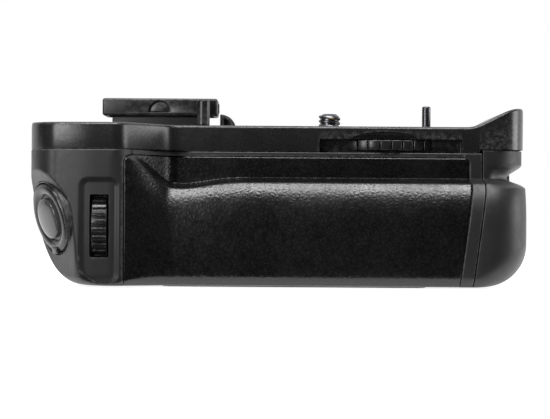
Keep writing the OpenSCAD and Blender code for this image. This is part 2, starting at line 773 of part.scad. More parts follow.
module gear_bridge() {
    color(steel) difference() {
        box(wheel_x - bridge_x_half, wheel_x + bridge_x_half, wheel_y - bridge_front,
            boss_place(boss_angles[0])[1] + boss_r, bridge_z0, bridge_z1);
        rod_z(wheel_x, wheel_y, bridge_z0 - 1, bridge_z1 + 1, axle_r);
        for (a = boss_angles)
            rod_z(boss_place(a)[0], boss_place(a)[1], bridge_z0 - 1, bridge_z1 + 1, bridge_screw_r);
    }
}

module bridge_screws() {
    color(steel) for (a = boss_angles) union() {
        rod_z(boss_place(a)[0], boss_place(a)[1], bridge_z0, roof_z - 1, bridge_screw_r);
        rod_z(boss_place(a)[0], boss_place(a)[1], bridge_z0 - screw_head_h, bridge_z0,
            2 * bridge_screw_r);
    }
}

module locating_pin() {
    color(steel) union() {
        rod_z(pin_x, pin_y, roof_z, plate_top, pin_r + root_more);
        rod_z(pin_x, pin_y, roof_z + 0.5, plate_top + pin_proud, pin_r);
    }
}

module locating_post() {
    color(dark) union() {
        rod_z(post_x, post_y, roof_z, plate_top, post_r + root_more);
        rod_z(post_x, post_y, roof_z + 0.5, plate_top + post_proud, post_r);
    }
}

contact_count = 12;
contact_r = 0.4;
contact_in = tongue_in + 1.5;
contact_pitch = (connector_l - 2 * contact_in) / (contact_count - 1);
function contact_x(i) = connector_x0 + contact_in + i * contact_pitch;
connector_tip_z = plate_top + connector_h + tongue_h;

module connector_base() {
    color(grey) difference() {
        union() {
            box(connector_x0, connector_x0 + connector_l, connector_y - connector_d / 2,
                connector_y + connector_d / 2, roof_z, plate_top + connector_h);
            box(connector_x0 + tongue_in, connector_x0 + connector_l - tongue_in, connector_y - 2,
                connector_y + 2, plate_top, connector_tip_z);
        }
        for (i = [0:contact_count - 1])
            rod_z(contact_x(i), connector_y, roof_z - 1, connector_tip_z + 1, contact_r);
    }
}

module connector_contacts() {
    color(brass) for (i = [0:contact_count - 1])
        rod_z(contact_x(i), connector_y, roof_z, connector_tip_z + 0.3, contact_r);
}

tab_r = 3.2;

module connector_cap() {
    color(black) difference() {
        box(cap_x0, cap_x0 + cap_l, connector_y - cap_d / 2, connector_y + cap_d / 2,
            cap_z0, cap_z0 + cap_h);
        box(cap_x0 + cap_wall, cap_x0 + cap_l - cap_wall, connector_y - cap_d / 2 + cap_wall,
            connector_y + cap_d / 2 - cap_wall, cap_z0 - 1, cap_z0 + cap_h - cap_wall);
        rod_y(cap_x0 + cap_l / 2, connector_y - cap_d / 2 - 1, connector_y - cap_d / 2 + cap_wall / 2,
            cap_z0 + cap_h, tab_r);
    }
}

module cap_guide() {
    color(grey) along_y(connector_y - guide_t / 2, connector_y + guide_t / 2) intersection() {
        translate([guide_x, field_z]) square([guide_l, guide_h]);
        translate([guide_x, field_z]) scale(guide_l) circle(1);
    }
}

module chamber_sleeve() {
    color(dark) difference() {
        union() {
            box(sleeve_x0, sleeve_x1, sleeve_y0, sleeve_y1, sleeve_z0, sleeve_z1);
            for (y = rail_ys)
                box(sleeve_x0 + 20, sleeve_x1 - 20, y, y + rail_w, floor_z, sleeve_z0 + 0.2);
            for (x = post_hole_xs, y = post_hole_ys)
                rod_z(x, y, sleeve_z1 - 0.2, board_z0, 2);
        }
        box(sleeve_x0 + sleeve_wall, sleeve_x1 + 1, sleeve_y0 + sleeve_wall, sleeve_y1 - sleeve_wall,
            sleeve_z0 + sleeve_wall, sleeve_z1 - sleeve_wall);
        for (y = terminal_ys)
            rod_x(sleeve_x0 - 1, sleeve_x0 + sleeve_wall + 1, y, cell_z, terminal_r);
    }
}

terminal_r = 1;
terminal_ys = [row_y(1), row_y(2)];

module chamber_contacts() {
    color(brass) for (y = terminal_ys)
        rod_x(sleeve_x0 - 2, tray_x0 - 0.15, y, cell_z, terminal_r);
}

function row_y(i) = tray_y0 + tray_d / 2 + (i - (cell_rows - 1) / 2) * cell_pitch;
tray_rib_h = 3.2;
tray_rib_w = 1.6;

module battery_tray() {
    color(dark) union() {
        box(tray_x0, tray_x1, tray_y0, tray_y0 + tray_d, tray_z0, tray_z0 + tray_floor);
        for (x = [tray_x0, tray_x1 - tray_wall])
            box(x, x + tray_wall, tray_y0, tray_y0 + tray_d, tray_z0, tray_z1);
        for (i = [0:cell_rows - 2])
            box(tray_x0, tray_x1, row_y(i) + (cell_pitch - tray_rib_w) / 2,
                row_y(i) + (cell_pitch + tray_rib_w) / 2, tray_z0, tray_z0 + tray_floor + tray_rib_h);
    }
}

nub_r = 2.75;
nub_l = 1.2;

module tray_cells() {
    color(cell_tan) for (i = [0:cell_rows - 1], k = [0, 1]) union() {
        rod_x(cell_x0 + k * cell_l, cell_x0 + (k + 1) * cell_l - nub_l, row_y(i), cell_z, cell_d / 2);
        rod_x(cell_x0 + (k + 1) * cell_l - nub_l - 0.1, cell_x0 + (k + 1) * cell_l - fit_gap,
            row_y(i), cell_z, nub_r);
    }
}

// A round wire swept along a conical helix about +Z, as one closed tube of triangles
wire_sides = 6;
curl_rings = 8;
function helix_point(r0, r1, h, turns, t) = let (r = mix(r0, r1, t))
    [r * cos(360 * turns * t), r * sin(360 * turns * t), h * t];
module helix(r0, r1, h, turns, wire) {
    rings = ceil(turns * curl_rings);
    points = [for (j = [0:rings])
        let (t = j / rings, c = helix_point(r0, r1, h, turns, t), a = 360 * turns * t)
        for (i = [0:wire_sides - 1]) let (b = 360 * i / wire_sides)
            c + wire / 2 * [cos(b) * cos(a), cos(b) * sin(a), sin(b)]];
    sides = [for (j = [0:rings - 1]) for (i = [0:wire_sides - 1])
        let (a = j * wire_sides + i, b = j * wire_sides + (i + 1) % wire_sides)
        each [[a, a + wire_sides, b], [b, a + wire_sides, b + wire_sides]]];
    first = [for (i = [0:wire_sides - 1]) i];
    last = [for (i = [wire_sides - 1:-1:0]) rings * wire_sides + i];
    polyhedron(points, concat(sides, [first], [last]), convexity = 8);
}

cell_spring_r = 4.6;
cell_spring_tip = 2;
cell_spring_curls = 2.5;
cell_wire = 0.5;

module tray_springs() {
    color(steel) for (i = [0:cell_rows - 1])
        translate([tray_x0 + tray_wall + contact_t + cell_wire / 2, row_y(i), cell_z])
            rotate([0, 90, 0])
                helix(cell_spring_r, cell_spring_tip, spring_l - cell_wire - 0.02, cell_spring_curls,
                    cell_wire);
}

module tray_contact_plates() {
    half = cell_d / 2 - 1.5;
    color(steel) for (i = [0:cell_rows - 1], x = [tray_x0 + tray_wall, tray_x1 - tray_wall - contact_t])
        box(x, x + contact_t, row_y(i) - half, row_y(i) + half, cell_z - half + 1, cell_z + half);
}

// Fold-out key on the latch knob: a half disc hinged on a pin across the knob
key_r = knob_r - 1.8;
key_t = 1.2;
key_pin_r = 0.45;
key_x = knob_x1 - key_t / 2 - 0.2;
key_room = 0.35;

module latch_knob() {
    color(grey) difference() {
        union() {
            rod_x(knob_x0, knob_x1, knob_y, knob_z, knob_r);
            rod_x(tongue_x0, knob_x0 + 0.5, knob_y, knob_z, shaft_r);
        }
        intersection() {
            rod_x(key_x - key_t / 2 - key_room, knob_x1 + 1, knob_y, knob_z, key_r + key_room);
            box(knob_x0, knob_x1 + 1, knob_y - knob_r, knob_y + knob_r,
                knob_z - knob_r, knob_z + key_t / 2 + key_room);
        }
        rod_y(key_x, knob_y - key_r - 1, knob_y + key_r + 1, knob_z, key_pin_r);
    }
}

module latch_key() {
    color(steel) union() {
        intersection() {
            rod_x(key_x - key_t / 2, key_x + key_t / 2, knob_y, knob_z, key_r);
            box(key_x - key_t, key_x + key_t, knob_y - knob_r, knob_y + knob_r, knob_z - knob_r, knob_z);
        }
        rod_y(key_x, knob_y - key_r + 0.4, knob_y + key_r - 0.4, knob_z, key_t / 2);
        rod_y(key_x, knob_y - key_r - 0.8, knob_y + key_r + 0.8, knob_z, key_pin_r - run_gap);
    }
}

module latch_tongue() {
    color(steel) difference() {
        box(tongue_x0, tongue_x0 + tongue_t, knob_y - tongue_w / 2, knob_y + tongue_w / 2,
            knob_z, knob_z + tongue_l);
        rod_x(tongue_x0 - 1, tongue_x0 + tongue_t + 1, knob_y, knob_z, shaft_r);
    }
}

module release_bezel() {
    color(black) at_release() rotate_extrude() polygon([
        [stem_r + 0.2, cup_w], [cup_r, cup_w], [cup_r, shelf_w], [bezel_r, shelf_w], [bezel_r, 0.4],
        [bezel_r - bezel_rim, 0.4], [bezel_r - bezel_rim, trench_w], [hub_r, trench_w], [hub_r, 0.2],
        [bore_r, 0.2], [bore_r, cup_floor_w], [stem_r + 0.2, cup_floor_w]]);
}

module release_button() {
    color(grey) at_release() rotate_extrude() polygon([
        [0, stem_w], [stem_r, stem_w], [stem_r, button_w], [release_r, button_w],
        [release_r, button_top_w - 0.9], [release_r - 0.5, button_top_w - 0.3], [0, button_top_w]]);
}

module release_spring() {
    length = button_w - cup_floor_w - release_wire - 0.04;
    color(steel) at_release() translate([0, 0, cup_floor_w + release_wire / 2 + 0.02])
        helix(3.4, 3.4, length, release_curls, release_wire);
}

module release_switch() {
    color(black) at_release() union() {
        translate([-switch_half, -switch_half, cup_w - switch_h])
            cube([2 * switch_half, 2 * switch_half, switch_h]);
        translate([0, 0, cup_w - 0.1]) cylinder(h = plunger_out + 0.1, r = stem_r - 0.1);
    }
}

collar_top_w = 1.2;
lug_w = 3;

module lock_collar() {
    color(black) at_release() union() {
        rotate_extrude() polygon([
            [hub_r + run_gap, trench_w + 0.1], [collar_r, trench_w + 0.1], [collar_r, collar_top_w - 0.4],
            [collar_r - 0.6, collar_top_w], [hub_r + run_gap, collar_top_w]]);
        translate([collar_r - 1.5, -lug_w / 2, collar_top_w - 0.5]) cube([1.9, lug_w, 1]);
    }
}

module dial(x, y, z, r, w) {
    difference() {
        translate([x - w / 2, y, z]) rotate([90, 0, 90]) linear_extrude(w)
            polygon(rim_outline(r, dial_rib, dial_ribs, 0.6, 0.7));
        rod_x(x - w, x + w, y, z, dial_axle_r + run_gap);
    }
}

module front_dial() {
    color(grey) dial(dial_x, dial_y, dial_z, front_dial_r, front_dial_w);
}

module front_dial_axle() {
    half = dial_half(front_dial_w);
    color(steel) rod_x(dial_x - half, dial_x + half, dial_y, dial_z, dial_axle_r);
}

module front_dial_bracket() {
    half = dial_half(front_dial_w);
    color(dark) difference() {
        union() {
            for (x = [dial_x - half, dial_x + half - cheek_t])
                box(x, x + cheek_t, dial_y - cheek_back, dial_y + cheek_back,
                    floor_z, dial_z + cheek_back);
            box(dial_x - half, dial_x + half, dial_y - cheek_back, dial_y + cheek_back,
                floor_z, floor_z + cheek_t);
        }
        rod_x(dial_x - half - 1, dial_x + half + 1, dial_y, dial_z, dial_axle_r);
    }
}

module rear_dial() {
    color(grey) dial(rear_dial_x, rear_dial_y, rear_dial_z, rear_dial_r, rear_dial_w);
}

module rear_dial_axle() {
    half = dial_half(rear_dial_w);
    color(steel) rod_x(rear_dial_x - half, rear_dial_x + half, rear_dial_y, rear_dial_z, dial_axle_r);
}

module rear_dial_bracket() {
    half = dial_half(rear_dial_w);
    color(dark) difference() {
        for (x = [rear_dial_x - half, rear_dial_x + half - cheek_t])
            box(x, x + cheek_t, rear_dial_y - cheek_back, rear_y - wall,
                rear_dial_z - cheek_back, rear_dial_z + cheek_back);
        rod_x(rear_dial_x - half - 1, rear_dial_x + half + 1, rear_dial_y, rear_dial_z, dial_axle_r);
    }
}

module at_rear(x, z) {
    translate([x, rear_y, z]) rotate([-90, 0, 0]) children();
}

module af_lock_button() {
    top_w = dial_proud - 0.05;
    color(grey) at_rear(af_x, af_z) rotate_extrude() polygon([
        [0, af_back_w], [af_flange_r, af_back_w], [af_flange_r, -wall - 0.2], [af_r, -wall - 0.2],
        [af_r, 0.3], [af_r - 0.4, top_w], [0, top_w]]);
}

module af_lock_switch() {
    top_w = af_back_w - af_travel - 0.2;
    color(black) union() {
        translate([af_x - switch_half, rear_y + panel_w, af_z - switch_half])
            cube([2 * switch_half, top_w - 0.5 - panel_w, 2 * switch_half]);
        rod_y(af_x, rear_y + top_w - 0.6, rear_y + top_w, af_z, 1);
    }
}

module selector_bezel() {
    color(black) difference() {
        at_rear(sel_x, sel_z) rotate_extrude() polygon([
            [sel_seat_r, sel_back_w], [sel_r, sel_back_w], [sel_r, 0], [sel_bore_r, 0],
            [sel_bore_r, sel_step_w], [sel_seat_r, sel_step_w]]);
        rod_x(sel_x - trunnion_reach - 0.2, sel_x + trunnion_reach + 0.2, sel_pivot_y, sel_z,
            trunnion_r + run_gap);
    }
}

module selector_gimbal() {
    color(steel) difference() {
        union() {
            rod_y(sel_x, sel_pivot_y - ring_half, sel_pivot_y + ring_half, sel_z, ring_r);
            rod_x(sel_x - trunnion_reach, sel_x + trunnion_reach, sel_pivot_y, sel_z, trunnion_r);
        }
        rod_y(sel_x, sel_pivot_y - 2, sel_pivot_y + 2, sel_z, ring_bore_r);
        rod_z(sel_x, sel_pivot_y, sel_z - ring_r - 1, sel_z + ring_r + 1, pad_pin_r + run_gap);
    }
}

module selector_pad() {
    color(grey) union() {
        at_rear(sel_x, sel_z) rotate_extrude() polygon([
            [0, sel_pivot_w - 0.8], [pad_stem_r, sel_pivot_w - 0.8], [pad_stem_r, pad_under_w],
            [pad_r, pad_under_w], [pad_r, 0.1], [pad_r - 0.6, dial_proud], [0, dial_proud - 0.35]]);
        rod_z(sel_x, sel_pivot_y, sel_z - ring_r + 0.3, sel_z + ring_r - 0.3, pad_pin_r);
    }
}

module control_board() {
    color(board_green) box(af_x - panel_left, sel_x + panel_right, rear_y + panel_w - panel_t,
        rear_y + panel_w, sleeve_z1, seam_z - panel_drop);
}

module main_board() {
    color(board_green) box(post_hole_xs[0] - board_rim, post_hole_xs[1] + board_rim,
        post_hole_ys[0] - board_rim, post_hole_ys[1] + board_rear_rim, board_z0, board_z0 + board_t);
}

// Two chips and a row of can capacitors on the main board
chip_x = 16;
chip_w = 10;
chip_h = 1.2;
small_chip_x = 30;
small_chip_w = 6;
small_chip_h = 1;
can_x = 18;
can_y = 17;
can_pitch = 5;
can_r = 1.8;
can_h = 3;

module board_components() {
    z = board_z0 + board_t;
    x = post_hole_xs[0];
    y = post_hole_ys[0];
    color(black) box(x + chip_x, x + chip_x + chip_w, y, y + chip_w, z, z + chip_h);
    color(black) box(x + small_chip_x, x + small_chip_x + small_chip_w, y, y + small_chip_w,
        z, z + small_chip_h);
    color(grey) for (i = [0:3])
        rod_z(x + can_x + can_pitch * i, y + can_y, z, z + can_h, can_r);
}

ribbon_t = 0.3;
ribbon_w = 10;

module ribbon_cable() {
    x = connector_x0 + connector_l / 2 - ribbon_w / 2;
    z = board_z0 + board_t;
    color(amber) box(x, x + ribbon_w, connector_y - ribbon_t / 2, connector_y + ribbon_t / 2,
        z, roof_z);
}

module base_plate() {
    color(dark) difference() {
        base_blank(0, base_t, 0);
        rod_z(screw_x, screw_y, -1, base_t + 1, socket_r + fit_gap);
        for (x = base_screw_xs, y = base_screw_ys)
            rod_z(x, y, -1, base_t + 1, base_head_r);
    }
}

module tripod_socket() {
    color(steel) difference() {
        rod_z(screw_x, screw_y, 0, socket_h, socket_r);
        rod_z(screw_x, screw_y, -1, socket_h - 0.6, screw_r);
    }
}

module base_screws() {
    color(steel) for (x = base_screw_xs, y = base_screw_ys)
        union() {
            rod_z(x, y, 0.1, base_t, base_head_r);
            rod_z(x, y, base_t - 0.1, floor_z - 0.2, base_screw_r);
        }
}

module top_plate_screws() {
    color(steel) for (x = plate_screw_xs) union() {
        rod_z(x, plate_screw_y, seam_z - tab_t, roof_z - 0.5, plate_screw_r);
        rod_z(x, plate_screw_y, seam_z - tab_t - screw_head_h, seam_z - tab_t, 2 * plate_screw_r);
    }
}

top_plate();
housing_shell();
front_grip_rubber();
rear_grip_rubber();
tray_end_cap();
mount_screw();
screw_gear();
screw_bush();
thumbwheel();
wheel_gear();
wheel_axle();
gear_bridge();
bridge_screws();
locating_pin();
locating_post();
connector_base();
connector_contacts();
connector_cap();
cap_guide();
chamber_sleeve();
chamber_contacts();
battery_tray();
tray_cells();
tray_springs();
tray_contact_plates();
latch_knob();
latch_key();
latch_tongue();
release_bezel();
release_button();
release_spring();
release_switch();
lock_collar();
front_dial();
front_dial_axle();
front_dial_bracket();
rear_dial();
rear_dial_axle();
rear_dial_bracket();
af_lock_button();
af_lock_switch();
selector_bezel();
selector_gimbal();
selector_pad();
control_board();
main_board();
board_components();
ribbon_cable();
base_plate();
tripod_socket();
base_screws();
top_plate_screws();
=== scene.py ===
import json
import math

import bmesh
import bpy
from mathutils import Matrix, Vector


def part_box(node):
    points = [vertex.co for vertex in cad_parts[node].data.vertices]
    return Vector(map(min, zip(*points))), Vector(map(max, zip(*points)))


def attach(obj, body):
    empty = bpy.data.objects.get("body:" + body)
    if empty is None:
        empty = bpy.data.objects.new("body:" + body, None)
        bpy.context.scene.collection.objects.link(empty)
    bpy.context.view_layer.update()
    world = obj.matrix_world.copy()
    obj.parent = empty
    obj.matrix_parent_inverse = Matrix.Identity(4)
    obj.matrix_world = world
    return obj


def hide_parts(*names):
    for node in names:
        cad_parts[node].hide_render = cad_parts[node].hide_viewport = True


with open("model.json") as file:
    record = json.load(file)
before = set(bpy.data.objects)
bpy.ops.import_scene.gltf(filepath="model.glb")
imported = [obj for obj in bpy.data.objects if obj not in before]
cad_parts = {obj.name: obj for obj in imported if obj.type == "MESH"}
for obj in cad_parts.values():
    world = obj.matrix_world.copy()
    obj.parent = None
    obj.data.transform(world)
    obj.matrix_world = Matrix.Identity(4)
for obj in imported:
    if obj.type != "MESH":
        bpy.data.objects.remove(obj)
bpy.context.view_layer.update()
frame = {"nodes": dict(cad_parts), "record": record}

NODES = frame["nodes"]
RECORD = frame["record"]
MM = 0.001
X_AXIS, Y_AXIS, Z_AXIS = Matrix.Identity(3)
FLAT = Matrix.Identity(4)

# Places and sizes read from the frame, in millimetres


def corners(node):
    """Lowest and highest corner of a CAD node."""
    low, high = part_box(node)
    return Vector(low) / MM, Vector(high) / MM


def middle(node):
    return sum(corners(node), Vector()) / 2


JOINTS = {joint["name"]: joint for joint in RECORD["behaviour"]["joints"]}
MOUNTS = {mount["name"]: mount for mount in RECORD["mounts"]}
SLOT_OF_NODE = {part["node"]: part["material_slot"] for part in RECORD["subparts"]}


def pivot(joint):
    return Vector(JOINTS[joint]["pos_m"]) / MM


plate_low, plate_high = corners("top_plate")
shell_low, shell_high = corners("housing_shell")
rubber_low, rubber_high = corners("front_grip_rubber")
FIT_GAP = 0.05
PART_GAP = 0.3
WALL = 2.4
LEFT, RIGHT = plate_low.x, plate_high.x
LEFT_FRONT, REAR = shell_low.y, shell_high.y
BASE, SEAM_Z = shell_low.z, plate_low.z
SEAM_X = shell_high.x
PLATE_TOP = MOUNTS["camera_seat"]["pos_m"][2] / MM
CAP_TOP = corners("tray_end_cap")[1].z
SLEEVE_LEFT = corners("chamber_sleeve")[0].x
tray_low, tray_high = corners("battery_tray")
WHEEL_PROUD = 0.8
MAIN_FRONT = corners("thumbwheel")[0].y + WHEEL_PROUD
BULGE_FRONT = MAIN_FRONT - 12
RUBBER_T = 1.2
RUBBER_TOP = rubber_high.z + FIT_GAP
RUBBER_LEFT = rubber_low.x - FIT_GAP
CHANNEL = 7.6
RIDGE = RUBBER_TOP - CHANNEL
BOTTOM_R = 3

# Front surface, close to the part's source: step, finger channel, lower bulge and release facet
STEP_X, STEP_W, STEP_MORE = SLEEVE_LEFT - 1, 14, 4
LEDGE_UP, LEDGE_H, LEDGE_SHARE = 1.8, 1.7, 0.58
ROUND_H, ROUND_POWER = 14, 2.5
DIP, DIP_X, DIP_W = 1.8, SLEEVE_LEFT + 18.5, 9
LIFT, LIFT_X, LIFT_W = 6, SLEEVE_LEFT + 15.5, 11
BELLY = 0.8
LEAN, LEAN_Z = 0.13, RIDGE - 1.8
RIM_W = 3.4
FACET_SLOPE, FACET_X, FACET_LEAN, FACET_CURL = 1.67, LEFT + 14.5, 0.1, 0.04
FACET_CURL_Z = RIDGE - 9.5
FACET_SOFT = 0.9
LEFT_ROUND, RIGHT_ROUND = 15, 11.5
WAIST, WAIST_H, WAIST_Z = 2, 7, RIDGE + 2.4
LEFT_CORNER_W, LEFT_CORNER_D, REAR_CORNER = 8, 12, 8
BOW, BOW_X, BOW_MOST = 0.9, LEFT + 19, 1.2
SLANT_X, SLANT_W, SLANT_END = STEP_X + 1.2, STEP_W + 3, 0.24
RIGHT_CORNER_W, RIGHT_CORNER_D, WAIST_CORNER_D, RIGHT_REAR = 11, 13, 38, 6


def clamp(t):
    return min(max(t, 0), 1)


def smooth(t):
    c = clamp(t)
    return c * c * (3 - 2 * c)


def mix(a, b, t):
    return a + (b - a) * t


def spread(a, b, n):
    return [mix(a, b, i / n) for i in range(n + 1)]


def arc(x, y, wide, high, start, end, steps):
    """Points of an arc of an ellipse about (x, y), in quarter turns from its top."""
    return [(x + wide * math.sin(a), y + high * math.cos(a))
            for a in spread(start * math.pi / 2, end * math.pi / 2, steps)]


def fall(distance, width, depth):
    """How far an elliptical edge stands back at a distance from its start."""
    return depth * (1 - math.sqrt(1 - clamp(1 - distance / width) ** 2))


def roll(distance, radius):
    return fall(distance, radius, radius)


def bow(x):
    """Slight curve of the left bulge, too fine for the solids."""
    return BOW * min(max((BOW_X - x) / (BOW_X - LEFT - LEFT_CORNER_W), 0), BOW_MOST) ** 2


def slant(t):
    """An even slant from 0 to 1 with rounded ends."""
    c, end = clamp(t), SLANT_END
    if c < end or c > 1 - end:
        tail = min(c, 1 - c) ** 2 / (2 * end * (1 - end))
        return tail if c < end else 1 - tail
    return (c - end / 2) / (1 - end)


def upper_y(x):
    return mix(LEFT_FRONT, MAIN_FRONT, slant((x - SLANT_X) / SLANT_W)) + bow(x)


def lower_y(x):
    return mix(LEFT_FRONT, BULGE_FRONT, smooth((x - STEP_X) / (STEP_W + STEP_MORE))) + bow(x)


def ridge_at(x):
    return RIDGE - DIP * math.exp(-((x - DIP_X) / DIP_W) ** 2) + LIFT * smooth((LIFT_X - x) / LIFT_W)


def ledge(x, z):
    """Share of the lower bulge: a short step out of the channel, then a wide round."""
    drop = ridge_at(x) + LEDGE_UP - z
    wide = 1 - (1 - clamp(drop / ROUND_H)) ** ROUND_POWER
    return mix(wide, smooth(drop / LEDGE_H), LEDGE_SHARE)


def edge_in(z):
    return roll(z - BASE, BOTTOM_R)


def front_y(x, z):
    face = mix(upper_y(x), lower_y(x), ledge(x, z))
    return face + BELLY * smooth((RIDGE / 2 - z) / RIDGE) + edge_in(z)


def facet_y(x, z):
    edge = FACET_X - FACET_LEAN * z - FACET_CURL * max(0, z - FACET_CURL_Z) ** 2
    return LEFT_FRONT + FACET_SLOPE * (edge - x)


def soft_max(a, b, soft):
    h = max(soft - abs(a - b), 0) / soft
    return max(a, b) + h * h * soft / 4


def skin_y(x, z):
    return soft_max(front_y(x, z), facet_y(x, z), FACET_SOFT)


def left_at(z):
    return LEFT + fall(z - BASE, RIDGE, LEFT_ROUND)


def waist_at(z):
    return 1 - smooth(abs(z - WAIST_Z) / (WAIST_H / 2))


def right_at(z):
    return RIGHT - roll(z - BASE, RIGHT_ROUND) - WAIST * waist_at(z)


def seam_at(z):
    return SEAM_X - LEAN * max(0, LEAN_Z - z)


def rubber_right(z):
    """Right edge of the rubber, with its round upper corner."""
    return seam_at(z) - RIM_W - roll(RUBBER_TOP - z, GRIP_CORNER_R)


# Making meshes: a shape is its points and its faces, in millimetres

EDGE_MARK, MARK_ANGLE = "edge_mark", 0.3
SHARP_ANGLE = math.radians(35)


def grid_faces(rows, n, ring=True, loop=False):
    """Faces between rows of n points; ring closes each row, loop joins the last to the first."""
    return [(j * n + i, j * n + (i + 1) % n, (j + 1) % rows * n + (i + 1) % n, (j + 1) % rows * n + i)
            for j in range(rows if loop else rows - 1) for i in range(n if ring else n - 1)]


def flat(rows):
    return [point for row in rows for point in row]


def ring_solid(rings):
    """A solid from rings of equal length, with flat caps."""
    n, last = len(rings[0]), (len(rings) - 1) * len(rings[0])
    caps = [tuple(range(n - 1, -1, -1)), tuple(range(last, last + n))]
    return flat(rings), grid_faces(len(rings), n) + caps


def skin_solid(outer, inner):
    """A closed skin between two grids of points."""
    n, m = len(outer[0]), len(outer)
    back = n * m
    cells = grid_faces(m, n, ring=False)
    rim = list(range(n)) + [j * n + n - 1 for j in range(1, m)]
    rim += [(m - 1) * n + i for i in range(n - 2, -1, -1)] + [j * n for j in range(m - 2, 0, -1)]
    edge = [(a, b, b + back, a + back) for a, b in zip(rim, rim[1:] + rim[:1])]
    return flat(outer + inner), cells + [tuple(v + back for v in reversed(f)) for f in cells] + edge


def round_corners(points, radius, steps):
    """A closed outline with its corners rounded."""
    out = []
    for i, point in enumerate(points):
        here = Vector(point)
        back, ahead = Vector(points[i - 1]) - here, Vector(points[(i + 1) % len(points)]) - here
        reach = min(radius, 0.49 * back.length, 0.49 * ahead.length)
        a, b = here + back.normalized() * reach, here + ahead.normalized() * reach
        for t in spread(0, 1, steps):
            out.append(tuple(a * (1 - t) ** 2 + here * 2 * t * (1 - t) + b * t * t))
    return out


def turned(outline, steps):
    """A closed outline of (radius, height) turned about Z."""
    rings = [[(r * math.cos(a), r * math.sin(a), h) for r, h in outline]
             for a in (2 * math.pi * i / steps for i in range(steps))]
    return flat(rings), grid_faces(steps, len(outline), loop=True)


def prism(outline, low, high):
    """An outline of (x, y) raised from one height to another."""
    return ring_solid([[(x, y, h) for x, y in outline] for h in (low, high)])


def block(low, high, r=0.0, steps=3):
    """A box between two corners, with rounded edges."""
    bm = bmesh.new()
    bmesh.ops.create_cube(bm, size=1)
    low, high = Vector(low), Vector(high)
    for v in bm.verts:
        v.co = (low + high) / 2 + Vector([c * s for c, s in zip(v.co, high - low)])
    if r:
        bmesh.ops.bevel(bm, geom=bm.edges[:], offset=r, segments=steps, profile=0.5, affect="EDGES")
    points = [tuple(v.co) for v in bm.verts]
    bm.verts.index_update()
    faces = [tuple(v.index for v in f.verts) for f in bm.faces]
    bm.free()
    return points, faces


def placed(shape, matrix):
    return [tuple(matrix @ Vector(p)) for p in shape[0]], shape[1]


def shape_mesh(shape):
    """A clean mesh in metres, with doubles merged and normals outwards."""
    mesh = bpy.data.meshes.new("shape")
    mesh.from_pydata([Vector(p) * MM for p in shape[0]], [], shape[1])
    bm = bmesh.new()
    bm.from_mesh(mesh)
    bmesh.ops.remove_doubles(bm, verts=bm.verts, dist=1e-7)
    bmesh.ops.dissolve_degenerate(bm, edges=bm.edges, dist=1e-8)
    bmesh.ops.recalc_face_normals(bm, faces=bm.faces)
    bm.to_mesh(mesh)
    bm.free()
    return mesh


def linked(name, data):
    """A new object in the scene."""
    obj = bpy.data.objects.new(name, data)
    bpy.context.scene.collection.objects.link(obj)
    return obj


def with_modifier(mesh, make):
    """The mesh after a modifier that make adds to an object."""
    obj = linked("work", mesh)
    make(obj)
    bpy.context.view_layer.update()
    result = bpy.data.meshes.new_from_object(obj.evaluated_get(bpy.context.evaluated_depsgraph_get()))
    bpy.data.objects.remove(obj)
    return result


def cut(mesh, shapes, operation="DIFFERENCE"):
    """The mesh with each shape cut out of it, or joined to it."""
    for shape in shapes:
        tool = linked("tool", shape_mesh(shape))

        def boolean(obj):
            step = obj.modifiers.new("cut", "BOOLEAN")
            step.operation, step.solver, step.object = operation, "EXACT", tool

        mesh = with_modifier(mesh, boolean)
        bpy.data.objects.remove(tool)
    return mesh


def bevelled(mesh, width, angle=40):
    def bevel(obj):
        step = obj.modifiers.new("bevel", "BEVEL")
        step.width, step.segments, step.angle_limit = width * MM, 2, math.radians(angle)
        step.limit_method, step.use_clamp_overlap = "ANGLE", True

    return with_modifier(mesh, bevel)


def merged(*meshes):
    """One mesh from several."""
    bm = bmesh.new()
    for mesh in meshes:
        bm.from_mesh(mesh)
    result = bpy.data.meshes.new("merged")
    bm.to_mesh(result)
    bm.free()
    return result


def mark_edges(mesh):
    """Marks the points on outward edges, where a finish is rubbed thin."""
    bm = bmesh.new()
    bm.from_mesh(mesh)
    outward = [e for e in bm.edges if len(e.link_faces) == 2 and e.is_convex]
    marked = {v.index for e in outward if e.calc_face_angle() > MARK_ANGLE for v in e.verts}
    bm.free()
    layer = mesh.attributes.new(EDGE_MARK, "FLOAT", "POINT")
    layer.data.foreach_set("value", [float(i in marked) for i in range(len(mesh.vertices))])


def piece(name, mesh, finish, body, *nodes):
    """A piece that rides on a body and stands for the CAD nodes named, or that of its own name."""
    nodes = nodes or [name]
    mark_edges(mesh)
    mesh.name = name
    mesh.materials.clear()
    mesh.materials.append(finish)
    mesh.shade_smooth()
    mesh.set_sharp_from_angle(angle=SHARP_ANGLE)
    obj = linked(name, mesh)
    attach(obj, body)
    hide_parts(*nodes)


# Node trees; what repeats is made by geometry nodes


def feed(socket, value):
    """Sets an input to a value, or links an output to it."""
    if isinstance(value, bpy.types.NodeSocket):
        socket.id_data.links.new(value, socket)
    else:
        socket.default_value = value


def add(tree, kind, inputs=(), **settings):
    """The outputs of a new node, with its settings made and its inputs fed by name or number."""
    node = tree.nodes.new(kind)
    for label, value in settings.items():
        setattr(node, label, value)
    for label, value in dict(inputs).items():
        feed(node.inputs[label], value)
    return node.outputs


def maths(operation, a, b):
    """A sum of an output and another output or a number."""
    return add(a.id_data, "ShaderNodeMath", {0: a, 1: b}, operation=operation)[0]


def times(a, b):
    return maths("MULTIPLY", a, b)


